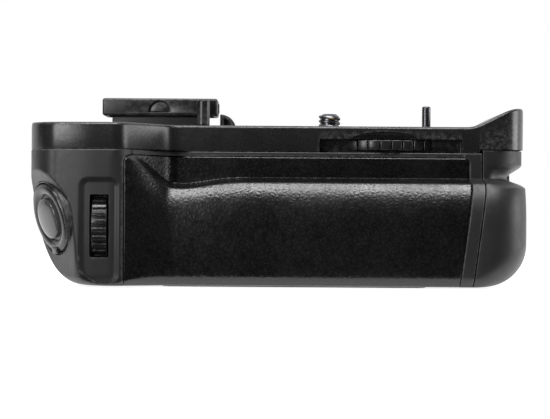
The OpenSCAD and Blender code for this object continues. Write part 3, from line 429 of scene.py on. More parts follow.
def tree_with(name, **sockets):
    """A geometry tree that takes a mesh and the inputs named."""
    tree = bpy.data.node_groups.new(name, "GeometryNodeTree")
    for label, kind in {"Geometry": "Geometry", **sockets}.items():
        tree.interface.new_socket(label, in_out="INPUT", socket_type="NodeSocket" + kind)
    tree.interface.new_socket("Geometry", in_out="OUTPUT", socket_type="NodeSocketGeometry")
    return tree, add(tree, "NodeGroupInput"), tree.nodes.new("NodeGroupOutput").inputs


def end_tree(tree, end, made):
    """Makes instances real and ends the tree."""
    feed(end[0], add(tree, "GeometryNodeRealizeInstances", {0: made})[0])
    return tree


def copies_on(points, start, **more):
    """Copies of the input mesh on points."""
    inputs = {"Points": points, "Instance": start["Geometry"], **more}
    return add(points.id_data, "GeometryNodeInstanceOnPoints", inputs)["Instances"]


def ring_tree():
    """Copies of the input mesh round a circle about Z, each turned outwards."""
    tree, start, end = tree_with("copies_round_a_rim", Count="Int", Radius="Float")
    circle = add(tree, "GeometryNodeMeshCircle", {"Vertices": start["Count"], "Radius": start["Radius"]})
    index = add(tree, "GeometryNodeInputIndex")[0]
    angle = maths("DIVIDE", times(index, 2 * math.pi), start["Count"])
    turn = add(tree, "ShaderNodeCombineXYZ", {"Z": angle})[0]
    return end_tree(tree, end, copies_on(circle["Mesh"], start, Rotation=turn))


def thread_tree():
    """A thread ridge wound in a helix."""
    sizes = dict.fromkeys(("Radius", "Turns", "Height", "Ridge"), "Float")
    tree, start, end = tree_with("thread_on_a_core", **sizes)
    helix = add(tree, "GeometryNodeCurveSpiral", {
        "Resolution": 48, "Rotations": start["Turns"], "Start Radius": start["Radius"],
        "End Radius": start["Radius"], "Height": start["Height"]})
    edge = add(tree, "GeometryNodeCurvePrimitiveCircle", {"Resolution": 6, "Radius": start["Ridge"]})
    sweep = add(tree, "GeometryNodeCurveToMesh", {
        "Curve": helix[0], "Profile Curve": edge[0], "Fill Caps": True})
    return end_tree(tree, end, sweep[0])


def copies_tree():
    """Copies of the input mesh on a grid of points."""
    tree, start, end = tree_with("copies_on_a_grid", Across="Int", Along="Int", Width="Float", Length="Float")
    grid = add(tree, "GeometryNodeMeshGrid", {
        "Vertices X": start["Across"], "Vertices Y": start["Along"],
        "Size X": start["Width"], "Size Y": start["Length"]})
    return end_tree(tree, end, copies_on(grid["Mesh"], start))


def grown(mesh, tree, matrix, **values):
    """The mesh after a node tree, with its inputs set by name, moved to its place."""
    ids = {item.name: item.identifier for item in tree.interface.items_tree if item.in_out == "INPUT"}

    def nodes(obj):
        step = obj.modifiers.new("nodes", "NODES")
        step.node_group = tree
        for label, value in values.items():
            step[ids[label]] = value

    result = with_modifier(mesh, nodes)
    result.transform(matrix)
    return result


# Finishes: shared effects are shader groups, set by each finish


def shader_group(name, inputs, outputs):
    group = bpy.data.node_groups.new(name, "ShaderNodeTree")
    for side, labels in (("INPUT", inputs), ("OUTPUT", outputs)):
        for label in labels:
            group.interface.new_socket(label, in_out=side, socket_type="NodeSocketFloat")
    return group, add(group, "NodeGroupInput"), group.nodes.new("NodeGroupOutput").inputs


def noise(where, scale, detail=2.0, rough=0.5):
    inputs = {"Vector": where, "Scale": scale, "Detail": detail, "Roughness": rough}
    return add(where.id_data, "ShaderNodeTexNoise", inputs)


def ramp(value, low, high, to_low=0.0, to_high=1.0):
    inputs = {"Value": value, "From Min": low, "From Max": high, "To Min": to_low, "To Max": to_high}
    return add(value.id_data, "ShaderNodeMapRange", inputs, interpolation_type="SMOOTHSTEP")["Result"]


def vary(value, low, high):
    """A roughness that follows a noise."""
    return ramp(value, 0.25, 0.75, low, high)


def tint(factor, a, b):
    """A colour from a to b; each may be an output of an earlier tint."""
    return add(factor.id_data, "ShaderNodeMix", {"Factor": factor, 6: a, 7: b}, data_type="RGBA")[2]


def place_of(tree):
    return add(tree, "ShaderNodeTexCoord")["Object"]


def fine_grain_group():
    """Fine grain of moulded plastic. Scale is in grains to the metre."""
    group, start, end = shader_group("fine_grain", ["Scale"], ["Height", "Tone"])
    where, scale = place_of(group), start["Scale"]
    feed(end["Height"], noise(where, scale, 3.0, 0.6)["Fac"])
    feed(end["Tone"], noise(where, times(scale, 0.02), 3.0)["Fac"])
    return group


def leather_group():
    """Pebbled leather: rounded cells with creases between them, pulled about by noise; the crease output is a
    mask for painted shade in the creases.
    """
    group, start, end = shader_group("leather_grain", ["Scale", "Pull"], ["Height", "Crease_Painted_Shade"])
    where, scale = place_of(group), start["Scale"]
    swirl = noise(where, times(scale, 0.45))["Color"]
    pulled = add(group, "ShaderNodeVectorMath", {0: swirl, 1: start["Pull"], 2: where},
                 operation="MULTIPLY_ADD")
    pebbles = add(group, "ShaderNodeTexVoronoi", {"Vector": pulled[0], "Scale": scale},
                  feature="DISTANCE_TO_EDGE")["Distance"]
    small = noise(where, times(scale, 3.2))["Fac"]
    feed(end["Height"], maths("ADD", ramp(pebbles, 0.0, 0.42), times(small, 0.25)))
    # Painted shade: a mask that is 1 in the creases between the pebbles, where the finish paints them darker
    feed(end["Crease_Painted_Shade"], ramp(pebbles, 0.02, 0.16, 1.0, 0.0))
    return group


def speckle_group():
    """Small scattered spots. Share is how many cells hold one."""
    group, start, end = shader_group("speckle", ["Scale", "Share"], ["Spots"])
    cells = add(group, "ShaderNodeTexVoronoi", {"Vector": place_of(group), "Scale": start["Scale"]})
    pick = add(group, "ShaderNodeSeparateColor", {0: cells["Color"]})
    chosen = maths("LESS_THAN", pick[0], start["Share"])
    size = maths("ADD", times(pick[1], 0.22), 0.14)
    feed(end["Spots"], times(chosen, maths("LESS_THAN", cells["Distance"], size)))
    return group


def edge_wear_group():
    """Rubbed edges, from the mesh's edge mark broken up by noise."""
    group, start, end = shader_group("edge_wear", ["Amount"], ["Mask"])
    mark = add(group, "ShaderNodeAttribute", attribute_name=EDGE_MARK)["Fac"]
    broken = ramp(noise(place_of(group), 700, 4.0, 0.65)["Fac"], 0.35, 0.7)
    feed(end["Mask"], times(times(mark, broken), start["Amount"]))
    return group


def dust_group():
    """Faint handling marks and dust that vary the gloss."""
    group, start, end = shader_group("handling", ["Scale"], ["Gloss"])
    where, scale = place_of(group), start["Scale"]
    fine = noise(where, times(scale, 14))["Fac"]
    feed(end["Gloss"], times(noise(where, scale, 5.0, 0.6)["Fac"], maths("ADD", fine, 0.5)))
    return group


FINE_GRAIN, LEATHER, SPECKLE = fine_grain_group(), leather_group(), speckle_group()
EDGE_WEAR, DUST = edge_wear_group(), dust_group()


class Finish:
    """A material under way."""

    def __init__(self, name, slot, metallic=0.0, specular=0.5, coat=0.0):
        self.material = bpy.data.materials.new(name)
        self.material.use_nodes = True
        self.material["slot"] = slot
        self.tree = self.material.node_tree
        self.inputs = self.tree.nodes["Principled BSDF"].inputs
        for label, value in (("Metallic", metallic), ("Specular IOR Level", specular), ("Coat Weight", coat)):
            feed(self.inputs[label], value)

    def effect(self, group, **values):
        return add(self.tree, "ShaderNodeGroup", values, node_tree=group)

    def done(self, colour, roughness, height=None, depth=0.0):
        """The material with its colour, roughness and bump, whose depth is in millimetres."""
        feed(self.inputs["Base Color"], colour)
        feed(self.inputs["Roughness"], roughness)
        if height is not None:
            inputs = {"Strength": 1.0, "Distance": depth * MM, "Height": height}
            bump = add(self.tree, "ShaderNodeBump", inputs)
            feed(self.inputs["Normal"], bump[0])
        return self.material


def grey(level):
    return (level, level, level, 1)


def speckled_paint():
    f = Finish("speckled_plate_paint", "plate_black")
    spots = f.effect(SPECKLE, Scale=1500.0, Share=0.16)["Spots"]
    grain = f.effect(FINE_GRAIN, Scale=3200.0)
    wear = f.effect(EDGE_WEAR, Amount=0.55)["Mask"]
    gloss = f.effect(DUST, Scale=70.0)["Gloss"]
    base = tint(spots, tint(grain["Tone"], grey(0.007), grey(0.011)), grey(0.004))
    height = maths("SUBTRACT", times(grain["Height"], 0.5), spots)
    return f.done(tint(wear, base, grey(0.09)), vary(gloss, 0.22, 0.34), height, 0.018)


def moulded(name, slot, level, roughness, depth=0.012, scale=3000.0, wear=0.5):
    """Grained moulded plastic."""
    f = Finish(name, slot, specular=0.45)
    grain = f.effect(FINE_GRAIN, Scale=scale)
    mask = f.effect(EDGE_WEAR, Amount=wear)["Mask"]
    dust = f.effect(DUST, Scale=55.0)["Gloss"]
    base = tint(grain["Tone"], grey(level * 0.82), grey(level * 1.15))
    colour = tint(mask, base, grey(min(0.3, level * 4 + 0.05)))
    return f.done(colour, vary(dust, roughness - 0.07, roughness + 0.07), grain["Height"], depth)


def leather_rubber():
    f = Finish("leather_grain_rubber", "grip_rubber")
    grain = f.effect(LEATHER, Scale=820.0, Pull=0.0009)
    dust = f.effect(DUST, Scale=45.0)["Gloss"]
    base = tint(dust, grey(0.004), grey(0.006))
    # Painted shade: the creases of the grain are painted darker than the pebbles
    return f.done(tint(grain["Crease_Painted_Shade"], base, grey(0.002)), vary(dust, 0.24, 0.36), grain["Height"], 0.03)


def turned_metal(name, slot, colour, dark, roughness):
    """Turned or rolled metal with fine streaks round or along it."""
    f = Finish(name, slot, metallic=1.0)
    stretch = add(f.tree, "ShaderNodeMapping", {"Vector": place_of(f.tree), "Scale": (400, 400, 9000)})
    streak = noise(stretch[0], 1, 3)["Fac"]
    dust = f.effect(DUST, Scale=80.0)["Gloss"]
    return f.done(tint(dust, colour, dark), vary(streak, roughness - 0.08, roughness + 0.1), streak, 0.004)


def lacquered_board():
    f = Finish("lacquered_board", "board_green", coat=0.4)
    lines = add(f.tree, "ShaderNodeTexBrick", {"Vector": place_of(f.tree), "Scale": 260, "Mortar Size": 0.06})
    traces = lines["Fac"]
    tone = f.effect(FINE_GRAIN, Scale=1200.0)["Tone"]
    base = tint(tone, (0.012, 0.10, 0.045, 1), (0.02, 0.15, 0.07, 1))
    return f.done(tint(traces, base, (0.05, 0.26, 0.12, 1)), 0.35, traces, 0.02)


def film(name, slot, colour, roughness, band=0.0):
    """Thin plastic film, plain or with fine traces along it."""
    f = Finish(name, slot, coat=0.3)
    dust = f.effect(DUST, Scale=90.0)["Gloss"]
    shade = (*(c * 0.7 for c in colour[:3]), 1)
    base = tint(dust, colour, shade)
    if band:
        wave = add(f.tree, "ShaderNodeTexWave", {"Vector": place_of(f.tree), "Scale": 260, "Distortion": 0.3})
        base = tint(times(wave["Fac"], band), base, shade)
    return f.done(base, vary(dust, roughness - 0.05, roughness + 0.1))


PLATE_PAINT = speckled_paint()
HOUSING = moulded("fine_matte_housing", "housing_black", 0.013, 0.46)
RUBBER = leather_rubber()
CONTROL = moulded("satin_control_plastic", "control_black", 0.010, 0.30, 0.006, 4200.0, 0.7)
BUTTON = moulded("satin_button", "button_satin", 0.05, 0.24, 0.002, 5200.0, 0.3)
COVER = moulded("satin_cover_plastic", "cap_black", 0.008, 0.36, 0.008, 3600.0, 0.8)
INNER = moulded("inner_moulding", "inner_black", 0.03, 0.5, 0.012, 2200.0, 0.3)
STEEL = turned_metal("turned_steel", "steel", (0.42, 0.42, 0.43, 1), (0.30, 0.30, 0.31, 1), 0.3)
# Painted shade: a darker copy of the turned steel, keeping the steel slot, for the mount screw and the
# locating pin
SHADED_STEEL_COPY = turned_metal("steel_with_painted_shade", "steel", (0.15, 0.15, 0.16, 1), (0.09, 0.09, 0.10, 1), 0.34)
BRASS = turned_metal("turned_brass", "brass", (0.72, 0.55, 0.25, 1), (0.55, 0.40, 0.17, 1), 0.32)
BOARD = lacquered_board()
RIBBON = film("amber_ribbon", "ribbon_amber", (0.45, 0.24, 0.07, 1), 0.3, 0.6)
CELL = film("cell_sleeve", "cell_wrap", (0.30, 0.31, 0.33, 1), 0.32)
FINISH_OF_SLOT = {finish["slot"]: finish for finish in (
    PLATE_PAINT, HOUSING, RUBBER, CONTROL, BUTTON, COVER, INNER, STEEL, BRASS, BOARD, RIBBON, CELL)}


# The shells


GRIP_CORNER, GRIP_CORNER_R, GRIP_ROLL, GRIP_EDGE = 2.3, 1.6, 0.6, 0.9
SEAM_ROLL, SEAM_DEEP = 0.35, 1.2
# Shadow line between plate and housing: distance from the seam, and how far the face stands back
SEAM_EDGE = [(s, roll(s, SEAM_ROLL)) for s in (SEAM_ROLL, 0.2, 0.1)] + [(0.1, SEAM_DEEP), (0, SEAM_DEEP)]
EDGE_ROLL, CAP_ROLL = 0.45, 0.3
PANEL_LOW, PANEL_HIGH = Vector((SLEEVE_LEFT - 8.9, 1)), Vector((SLEEVE_LEFT + 2.3, 30))
PANEL_SINK, PANEL_CORNER, PANEL_SOFT = 0.7, 2.8, 1.6


def panel_sink(x, z):
    """Depth of the shallow panel round the front dial, with soft edges."""
    centre, half = (PANEL_LOW + PANEL_HIGH) / 2, (PANEL_HIGH - PANEL_LOW) / 2
    dx, dz = abs(x - centre.x) - half.x + PANEL_CORNER, abs(z - centre.y) - half.y + PANEL_CORNER
    outside = math.hypot(max(dx, 0), max(dz, 0)) + min(max(dx, dz), 0) - PANEL_CORNER
    return PANEL_SINK * smooth(-outside / PANEL_SOFT)


def grip_left(z):
    """Left edge of the rubber, with its round upper corner."""
    return RUBBER_LEFT + roll(RUBBER_TOP - z, GRIP_CORNER)


def front_columns(z, sunk):
    """Front of the housing at one level, from seam to left corner, with the rubber's seat sunk in."""
    right, left = rubber_right(z) - FIT_GAP, grip_left(z)
    rim = [(x, front_y(x, z)) for x in spread(seam_at(z), right + EDGE_ROLL, 8)]
    rim += [(right + s, front_y(right, z) + roll(s, EDGE_ROLL)) for s in (0.2, 0.08, 0)]
    seat = [(x, front_y(x, z) + sunk) for x in spread(right, left, 150)]
    bulge = [(left - s, skin_y(left, z) + roll(s, EDGE_ROLL)) for s in (0, 0.08, 0.2)]
    panel = [(x, skin_y(x, z) + panel_sink(x, z))
             for x in spread(left - EDGE_ROLL, left_at(z) + LEFT_CORNER_W, 70)]
    return rim + seat + bulge + panel


def left_end(z, inset):
    """Left end at one level: the front corner with the release facet, then the rear."""
    x0, y1 = left_at(z) + inset, REAR - edge_in(z) - inset
    y0 = skin_y(left_at(z) + LEFT_CORNER_W, z) + inset
    front = arc(x0 + LEFT_CORNER_W, y0 + LEFT_CORNER_D, -LEFT_CORNER_W, -LEFT_CORNER_D, 0, 1, 28)
    rear = arc(x0 + REAR_CORNER, y1 - REAR_CORNER, -REAR_CORNER, REAR_CORNER, 1, 0, 12)
    return [(x, soft_max(y, facet_y(x, z) + inset, FACET_SOFT)) for x, y in front[1:]] + rear


def shell_ring(z, front, inset, wall=0.0):
    """One level of a shell: its front, its left end and its rear."""
    rear = spread(left_at(z) + REAR_CORNER + wall, seam_at(z) - wall, 60)[1:]
    rear = [(x, REAR - edge_in(z) - inset) for x in rear]
    return [(x, y, z) for x, y in front + left_end(z, inset) + rear]


def housing_ring(z, sunk, edge=0.0):
    """One level of the housing; edge draws it in where its rim is rounded."""
    return shell_ring(z, [(x, y + edge) for x, y in front_columns(z, sunk)], edge)


def cavity_ring(z):
    """Inside of the housing: as many points, one wall further in."""
    xs = spread(seam_at(z) - WALL, left_at(z) + LEFT_CORNER_W + WALL, len(front_columns(z, 0)) - 1)
    return shell_ring(z, [(x, skin_y(x, z) + RUBBER_T + WALL) for x in xs], WALL, WALL)


def shell_levels(top):
    """Levels of a shell, closest at the bottom edge and over the ridge."""
    bottom = [BASE + BOTTOM_R * (1 - math.cos(a)) for a in spread(0, math.pi / 2, 9)]
    side = spread(BASE + BOTTOM_R, RIDGE - 4, 26)
    ridge = spread(RIDGE - 4, RIDGE + 6, 64)
    return bottom + side[1:] + ridge[1:] + spread(RIDGE + 6, top, 8)[1:]


def spin(axis, degrees):
    return Matrix.Rotation(math.radians(degrees), 4, axis)


def at(point, turn=FLAT):
    return Matrix.Translation(Vector(point)) @ turn


def rod(axis, start, length, radius, steps=64):
    """A cutter or peg: a round rod from a point along an axis."""
    shape = turned([(0, 0), (radius, 0), (radius, length), (0, length)], steps)
    turn = Z_AXIS.rotation_difference(axis).to_matrix().to_4x4()
    return placed(shape, at(start, turn))


# The release button sits on the facet, and its own Z runs outwards along the button
RELEASE_X, RELEASE_Z = LEFT + 7, RIDGE - 9.5
RELEASE_TURN = spin("Z", 211) @ spin("Y", 105)
RELEASE = at((RELEASE_X, facet_y(RELEASE_X, RELEASE_Z), RELEASE_Z), RELEASE_TURN) @ at(Z_AXIS)
BUTTON_R, COLLAR_R = 5.6, 9.6
BEZEL_R, HUB_R = COLLAR_R + 0.8, BUTTON_R + 0.81
DIAL = pivot("front_dial_turn")
DIAL_R, DIAL_W, DIAL_BORE = 9.5, 4, 1.56
REAR_DIAL = pivot("rear_dial_turn")
REAR_DIAL_R, REAR_DIAL_W = 9, 6
DIAL_COUNT, DIAL_RIB, DIAL_SHARE = 26, 0.6, 0.55
SLOT_GAP, TONGUE_GAP, TONGUE_DROP = 0.6, 0.4, 3.4
AF, AF_R = middle("af_lock_button"), 3.5
PAD, PAD_R, PAD_BEZEL_R = middle("selector_pad"), 5.6, 7.15
KNOB = middle("latch_knob")
KNOB.x = corners("latch_knob")[1].x
KNOB_R, KNOB_T, SHAFT_R = 8, 4.2, 2
SCREW, PIN, POST = middle("mount_screw"), middle("locating_pin"), middle("locating_post")
SOCKET_R = 6.18
WHEEL = middle("thumbwheel")
WHEEL_R, WHEEL_T, WHEEL_BORE = 19.5, 2.8, 2.56
WHEEL_COUNT, WHEEL_GROOVE, WHEEL_SHARE = 38, 0.8, 0.86


def dial_window(dial, width, radius, y0, y1):
    """Cutter for a dial's window."""
    size = Vector((width / 2 + SLOT_GAP, 0, radius - 1))
    low, high = dial - size, dial + size
    return block((low.x, y0, low.z), (high.x, y1, high.z), 0.3)


def housing():
    rings = [housing_ring(z, RUBBER_T) for z in shell_levels(RUBBER_TOP)]
    rings += [housing_ring(z, FIT_GAP) for z in (RUBBER_TOP + 0.02, mix(RUBBER_TOP, SEAM_Z, 0.5))]
    rings += [housing_ring(SEAM_Z - s, FIT_GAP, sunk) for s, sunk in SEAM_EDGE]
    rings += [cavity_ring(z) for z in spread(SEAM_Z, BASE + WALL, 40)]
    mesh = shape_mesh(ring_solid(rings))
    base_low, base_high = corners("base_plate")
    tongue_low, tongue_high = corners("latch_tongue")
    gap = Vector((PART_GAP,) * 3)
    socket = middle("tripod_socket")
    cutters = [
        placed(rod(Z_AXIS, (0, 0, -15), 30, BEZEL_R + FIT_GAP, 96), RELEASE),
        dial_window(DIAL, DIAL_W, DIAL_R, LEFT_FRONT - 1, LEFT_FRONT + WALL + 2),
        dial_window(REAR_DIAL, REAR_DIAL_W, REAR_DIAL_R, REAR - WALL - 1, REAR + 1),
        rod(Y_AXIS, (AF.x, REAR - WALL - 1, AF.z), WALL + 2, AF_R + PART_GAP),
        rod(Y_AXIS, (PAD.x, REAR - WALL - 1, PAD.z), WALL + 2, PAD_BEZEL_R + FIT_GAP),
        block((SEAM_X - WALL - 6, *(tray_low - gap)[1:]), (SEAM_X + 1, *(tray_high + gap)[1:])),
        block(tongue_low - Vector((1, TONGUE_GAP, TONGUE_DROP)),
              (SEAM_X + 1, tongue_high.y + TONGUE_GAP, tongue_high.z + TONGUE_GAP)),
        block((base_low.x - FIT_GAP, base_low.y - FIT_GAP, BASE - 1),
              (base_high.x + FIT_GAP, base_high.y + FIT_GAP, base_high.z + 0.01)),
        rod(Z_AXIS, (socket.x, socket.y, BASE - 1), 5, SOCKET_R + FIT_GAP),
    ]
    return cut(mesh, cutters)


def grip_skin():
    """The front rubber: an outer grid with rolled edges and an inner one on its seat."""
    top = RUBBER_TOP - FIT_GAP
    edge = (0, 0.02, 0.08, 0.18, 0.3, 0.45, GRIP_ROLL)
    levels = shell_levels(top - GRIP_ROLL) + [top - s for s in reversed(edge[:-1])]
    corner = Vector((RUBBER_LEFT + GRIP_CORNER, top - GRIP_CORNER))
    outer, inner = [], []
    for z in levels:
        left, right = grip_left(z) + FIT_GAP, rubber_right(z) - 2 * FIT_GAP
        xs = [right - s for s in edge] + spread(right - GRIP_EDGE, left + GRIP_EDGE, 220)
        xs += [left + s for s in reversed(edge)]
        row = []
        for x in xs:
            near = min(x - RUBBER_LEFT - FIT_GAP, right - x, top - z)
            if x < corner.x and z > corner.y:
                near = GRIP_CORNER - (Vector((x, z)) - corner).length
            row.append((x, front_y(x, z) + roll(near, GRIP_ROLL), z))
        outer.append(row)
        inner.append([(x, front_y(x, z) + RUBBER_T - FIT_GAP, z) for x in xs])
    return shape_mesh(skin_solid(outer, inner))


def end_cap():
    """The end cap that carries the tray, with the pocket for the latch knob."""
    rings = []
    for z in shell_levels(CAP_TOP):
        x0, x1 = seam_at(z) + PART_GAP, right_at(z)
        room, depth = x1 - x0 - 0.5, mix(RIGHT_CORNER_D, WAIST_CORNER_D, waist_at(z))
        w, r = min(RIGHT_CORNER_W, room), min(RIGHT_REAR, room)
        y0, y1 = front_y(x0, z), REAR - edge_in(z)
        front = arc(x1 - w, y0 + depth, w, -depth, 0, 1, 36)
        rear = arc(x1 - r, y1 - r, r, r, 1, 0, 14)
        seam = [(x0 + roll(s, CAP_ROLL), y0 + s) for s in (CAP_ROLL, 0.15, 0.05, 0)]
        inside = [(x0, y1)] + spread_pairs((x0, y1 - 0.1), (x0, y0 + 0.4), 12)
        rings.append([(x, y, z) for x, y in inside + seam + front + rear])
    mesh = shape_mesh(ring_solid(rings))
    side = Vector((0, FIT_GAP, FIT_GAP))
    return cut(mesh, [
        block(tray_low - side, tray_high + side),
        rod(X_AXIS, (KNOB.x - KNOB_T - 0.1, KNOB.y, KNOB.z), 12, KNOB_R + PART_GAP, 96),
        rod(X_AXIS, (SEAM_X - 1, KNOB.y, KNOB.z), 12, SHAFT_R + 0.06)])


def spread_pairs(a, b, n):
    return list(zip(spread(a[0], b[0], n), spread(a[1], b[1], n)))


HORN_RISE, HORN_L, HORN_TIP = plate_high.z - PLATE_TOP, 15, 1.6
PLATE_CORNER_W, PLATE_CORNER_D, PLATE_WALL = 8, 10, 2.2
ROOF = PLATE_TOP - 1.7
PLATE_ROLL = 0.9


def plate_top_z(x):
    return PLATE_TOP + HORN_RISE * smooth((x - (RIGHT - HORN_TIP - HORN_L)) / HORN_L)


def plate_sides(x, inset):
    """Front and rear of the top plate at one place along it."""
    from_left, from_right = x - LEFT - inset, RIGHT - inset - x
    front = upper_y(x) + inset + fall(from_left, LEFT_CORNER_W, LEFT_CORNER_D)
    front = soft_max(front, facet_y(x, SEAM_Z) + inset, FACET_SOFT)
    front += fall(from_right, PLATE_CORNER_W, PLATE_CORNER_D)
    return front, REAR - inset - roll(from_left, REAR_CORNER) - roll(from_right, RIGHT_REAR)


def plate_stations(inset):
    """Places along the plate, closest together at its round ends."""
    ends = [PLATE_CORNER_W * (1 - math.cos(a)) for a in spread(0, math.pi / 2, 26)]
    left = [LEFT + inset + s for s in ends]
    right = [RIGHT - inset - s for s in reversed(ends)]
    step = STEP_X + STEP_W
    return left + spread(left[-1], step, 60)[1:] + spread(step, right[0], 90)[1:-1] + right


def plate_solid(inset, bottom, top, edge):
    """The plate's plan between two heights, with its upper edge rounded."""
    rings = []
    for x in plate_stations(inset):
        front, rear = plate_sides(x, inset)
        side = [(front, top(x))]
        if edge:
            high = top(x) - roll(min(x - LEFT - inset, RIGHT - inset - x), edge)
            side = [(front + sunk, bottom + s) for s, sunk in reversed(SEAM_EDGE)]
            side += [(front + s, high - roll(s, edge)) for s in (0, 0.06, 0.22, 0.5, edge)]
        back = [(rear - (y - front), z) for y, z in reversed(side)]
        roof = spread_pairs(side[-1], back[0], 16)
        floor = spread_pairs((back[-1][0], bottom), (side[0][0], bottom), 8)[1:-1]
        rings.append([(x, y, z) for y, z in side + roof[1:-1] + back + floor])
    return ring_solid(rings)


FIELD_GAP = 1.5
BUSH_R, PIN_ROOT_R, POST_ROOT_R = 4.98, 1.65, 2.3
SLOT_HALF, SLOT_TOP = WHEEL_R + 0.4, corners("thumbwheel")[1].z + PART_GAP
SCOOP_W, SCOOP_H, SCOOP_D = 9.2, 2.1, 1.3


def scoop():
    """Cutter for the thumb scoop over the wheel's window."""
    shape = turned(arc(0, 0, 1, -1, 0, 2, 24), 64)
    size = Matrix.Diagonal((SCOOP_W, SCOOP_D, SCOOP_H, 1))
    return placed(shape, at((WHEEL.x - 1.6, MAIN_FRONT, SLOT_TOP - 0.1), size))


def top_cover():
    mesh = shape_mesh(plate_solid(0, SEAM_Z, plate_top_z, PLATE_ROLL))
    cap_box, guide_box = corners("connector_cap"), corners("cap_guide")
    base_low, base_high = corners("connector_base")
    field_z = guide_box[0].z
    return cut(mesh, [
        plate_solid(PLATE_WALL, SEAM_Z - 2, lambda x: ROOF, 0),
        block((SEAM_X - 0.6, LEFT_FRONT, SEAM_Z - 1), (RIGHT + 1, REAR + 1, CAP_TOP + PART_GAP)),
        block((WHEEL.x - SLOT_HALF, MAIN_FRONT - 1, SEAM_Z - 1),
              (WHEEL.x + SLOT_HALF, MAIN_FRONT + PLATE_WALL + 1, SLOT_TOP), 0.4),
        scoop(),
        block((cap_box[0].x - FIELD_GAP, cap_box[0].y - FIELD_GAP, field_z),
              (guide_box[1].x + FIELD_GAP, cap_box[1].y + FIELD_GAP, PLATE_TOP + 3), 0.3),
        block((base_low.x, base_low.y, ROOF - 1), (base_high.x, base_high.y, PLATE_TOP + 1)),
        *[rod(Z_AXIS, (peg.x, peg.y, ROOF - 1), 4, radius)
          for peg, radius in ((SCREW, BUSH_R), (PIN, PIN_ROOT_R), (POST, POST_ROOT_R))]])


# Controls and fittings

RING, THREAD, COPIES = ring_tree(), thread_tree(), copies_tree()
TO_X, TO_REAR, UP_FRONT = spin("Y", 90), spin("X", -90), spin("X", 90)


def ribbed_wheel(bore, radius, width, count, depth, share, centre, turn=FLAT):
    """A wheel whose rounded ribs fill a share of its rim."""
    h, core_edge, core_r = width / 2, 0.15, radius - depth - 0.15
    core = ([(bore, -h)] + arc(core_r, core_edge - h, core_edge, -core_edge, 0, 1, 5)
            + arc(core_r, h - core_edge, core_edge, core_edge, 1, 0, 5) + [(bore, h)])
    half = math.pi * radius / count * share
    rib = block((-depth - 0.3, -half, -h), (0, half, h), min(0.28, depth / 2, half / 2))
    rim_r = radius * MM * math.cos(half / radius)
    rim = grown(shape_mesh(rib), RING, at(centre * MM, turn), Count=count, Radius=rim_r)
    return merged(turned_piece(core, at(centre, turn), 4 * count), rim)


def turned_piece(outline, matrix, steps=96):
    return shape_mesh(placed(turned(outline, steps), matrix))


def release_button():
    """Satin button with a domed face on its stem."""
    dome = arc(0, 1.35, BUTTON_R, 1.05, 1, 0, 14)
    return turned_piece([(0, -5.7), (1, -5.7), (1, -3), (BUTTON_R, -3)] + dome, RELEASE, 128)


def lock_collar():
    """Collar round the button: a crowned ring with a finger lug."""
    inner, low = HUB_R + 0.06, -1.6
    crown = [(mix(inner + 0.35, COLLAR_R - 0.25, t), 0.75 + 0.45 * math.sin(math.pi * t) ** 0.7)
             for t in spread(0.02, 0.98, 14)]
    outline = [(inner, low), (COLLAR_R, low), (COLLAR_R, 0.3)] + crown[::-1] + [(inner, 0.3)]
    lug = block((COLLAR_R - 1.6, -1.5, 0.3), (COLLAR_R + 0.35, 1.5, 1.7), 0.35)
    return merged(turned_piece(outline, RELEASE, 128), shape_mesh(placed(lug, RELEASE)))


def release_bezel():
    """Moulded seat of the collar and the button."""
    rim, hub, bore, stem = BEZEL_R - 0.5, HUB_R + 1, BUTTON_R + 0.06, 1.2
    outside = [(stem, -7.5), (hub, -7.5), (hub, -2.6), (BEZEL_R, -2.6), (BEZEL_R, 0.2), (BEZEL_R - 0.2, 0.4)]
    seat = [(rim, 0.3), (rim, -1.7), (HUB_R, -1.7), (HUB_R, 0.1), (HUB_R - 0.2, 0.2)]
    return turned_piece(outside + seat + [(bore, 0.2), (bore, -6), (stem, -6)], RELEASE, 128)


def connector_cover():
    """Slip-on cover: a rounded hollow block with a half-moon tab and a side lug."""
    low, high = corners("connector_cap")
    wall, notch, notch_z, share = 1.2, 3.4, high.z - 4, 0.78
    shell = shape_mesh(block(low, high, 0.7, 4))
    centre = (low + high) / 2
    moon = arc(centre.x, notch_z, notch, notch, 1, -1, 32)
    shell = cut(shell, [
        block(low + Vector((wall, wall, -1)), high - Vector((wall, wall, wall))),
        placed(prism(moon, -low.y - wall / 2, -low.y + 1), UP_FRONT)])
    inner = [(mix(centre.x, x, share), mix(notch_z, z, share) + 0.2) for x, z in moon]
    tab = prism(inner, -low.y - wall / 2 - 0.1, -low.y - 0.1)
    tab = bevelled(shape_mesh(placed(tab, UP_FRONT)), 0.2)
    lug = block((high.x - 0.2, centre.y - 2, low.z + 1), (high.x + 0.3, centre.y + 2, high.z - 1.2), 0.2)
    return merged(shell, tab, shape_mesh(lug))


def connector_seat():
    """Moulded connector: a stepped block with a slotted tongue."""
    low, high = corners("connector_base")
    top, tongue_in = high.z - 2.6, 3
    mesh = shape_mesh(block(low, (high.x, high.y, top), 0.35))
    middle_y = (low.y + high.y) / 2
    tongue = block((low.x + tongue_in, middle_y - 2, top - 1),
                   (high.x - tongue_in, middle_y + 2, high.z), 0.3)
    pin_low, pin_high = corners("connector_contacts")
    slot = block((pin_low.x, middle_y - 0.4, high.z - 0.6), (pin_high.x, middle_y + 0.4, high.z + 1))
    return cut(cut(mesh, [tongue], "UNION"), [slot])


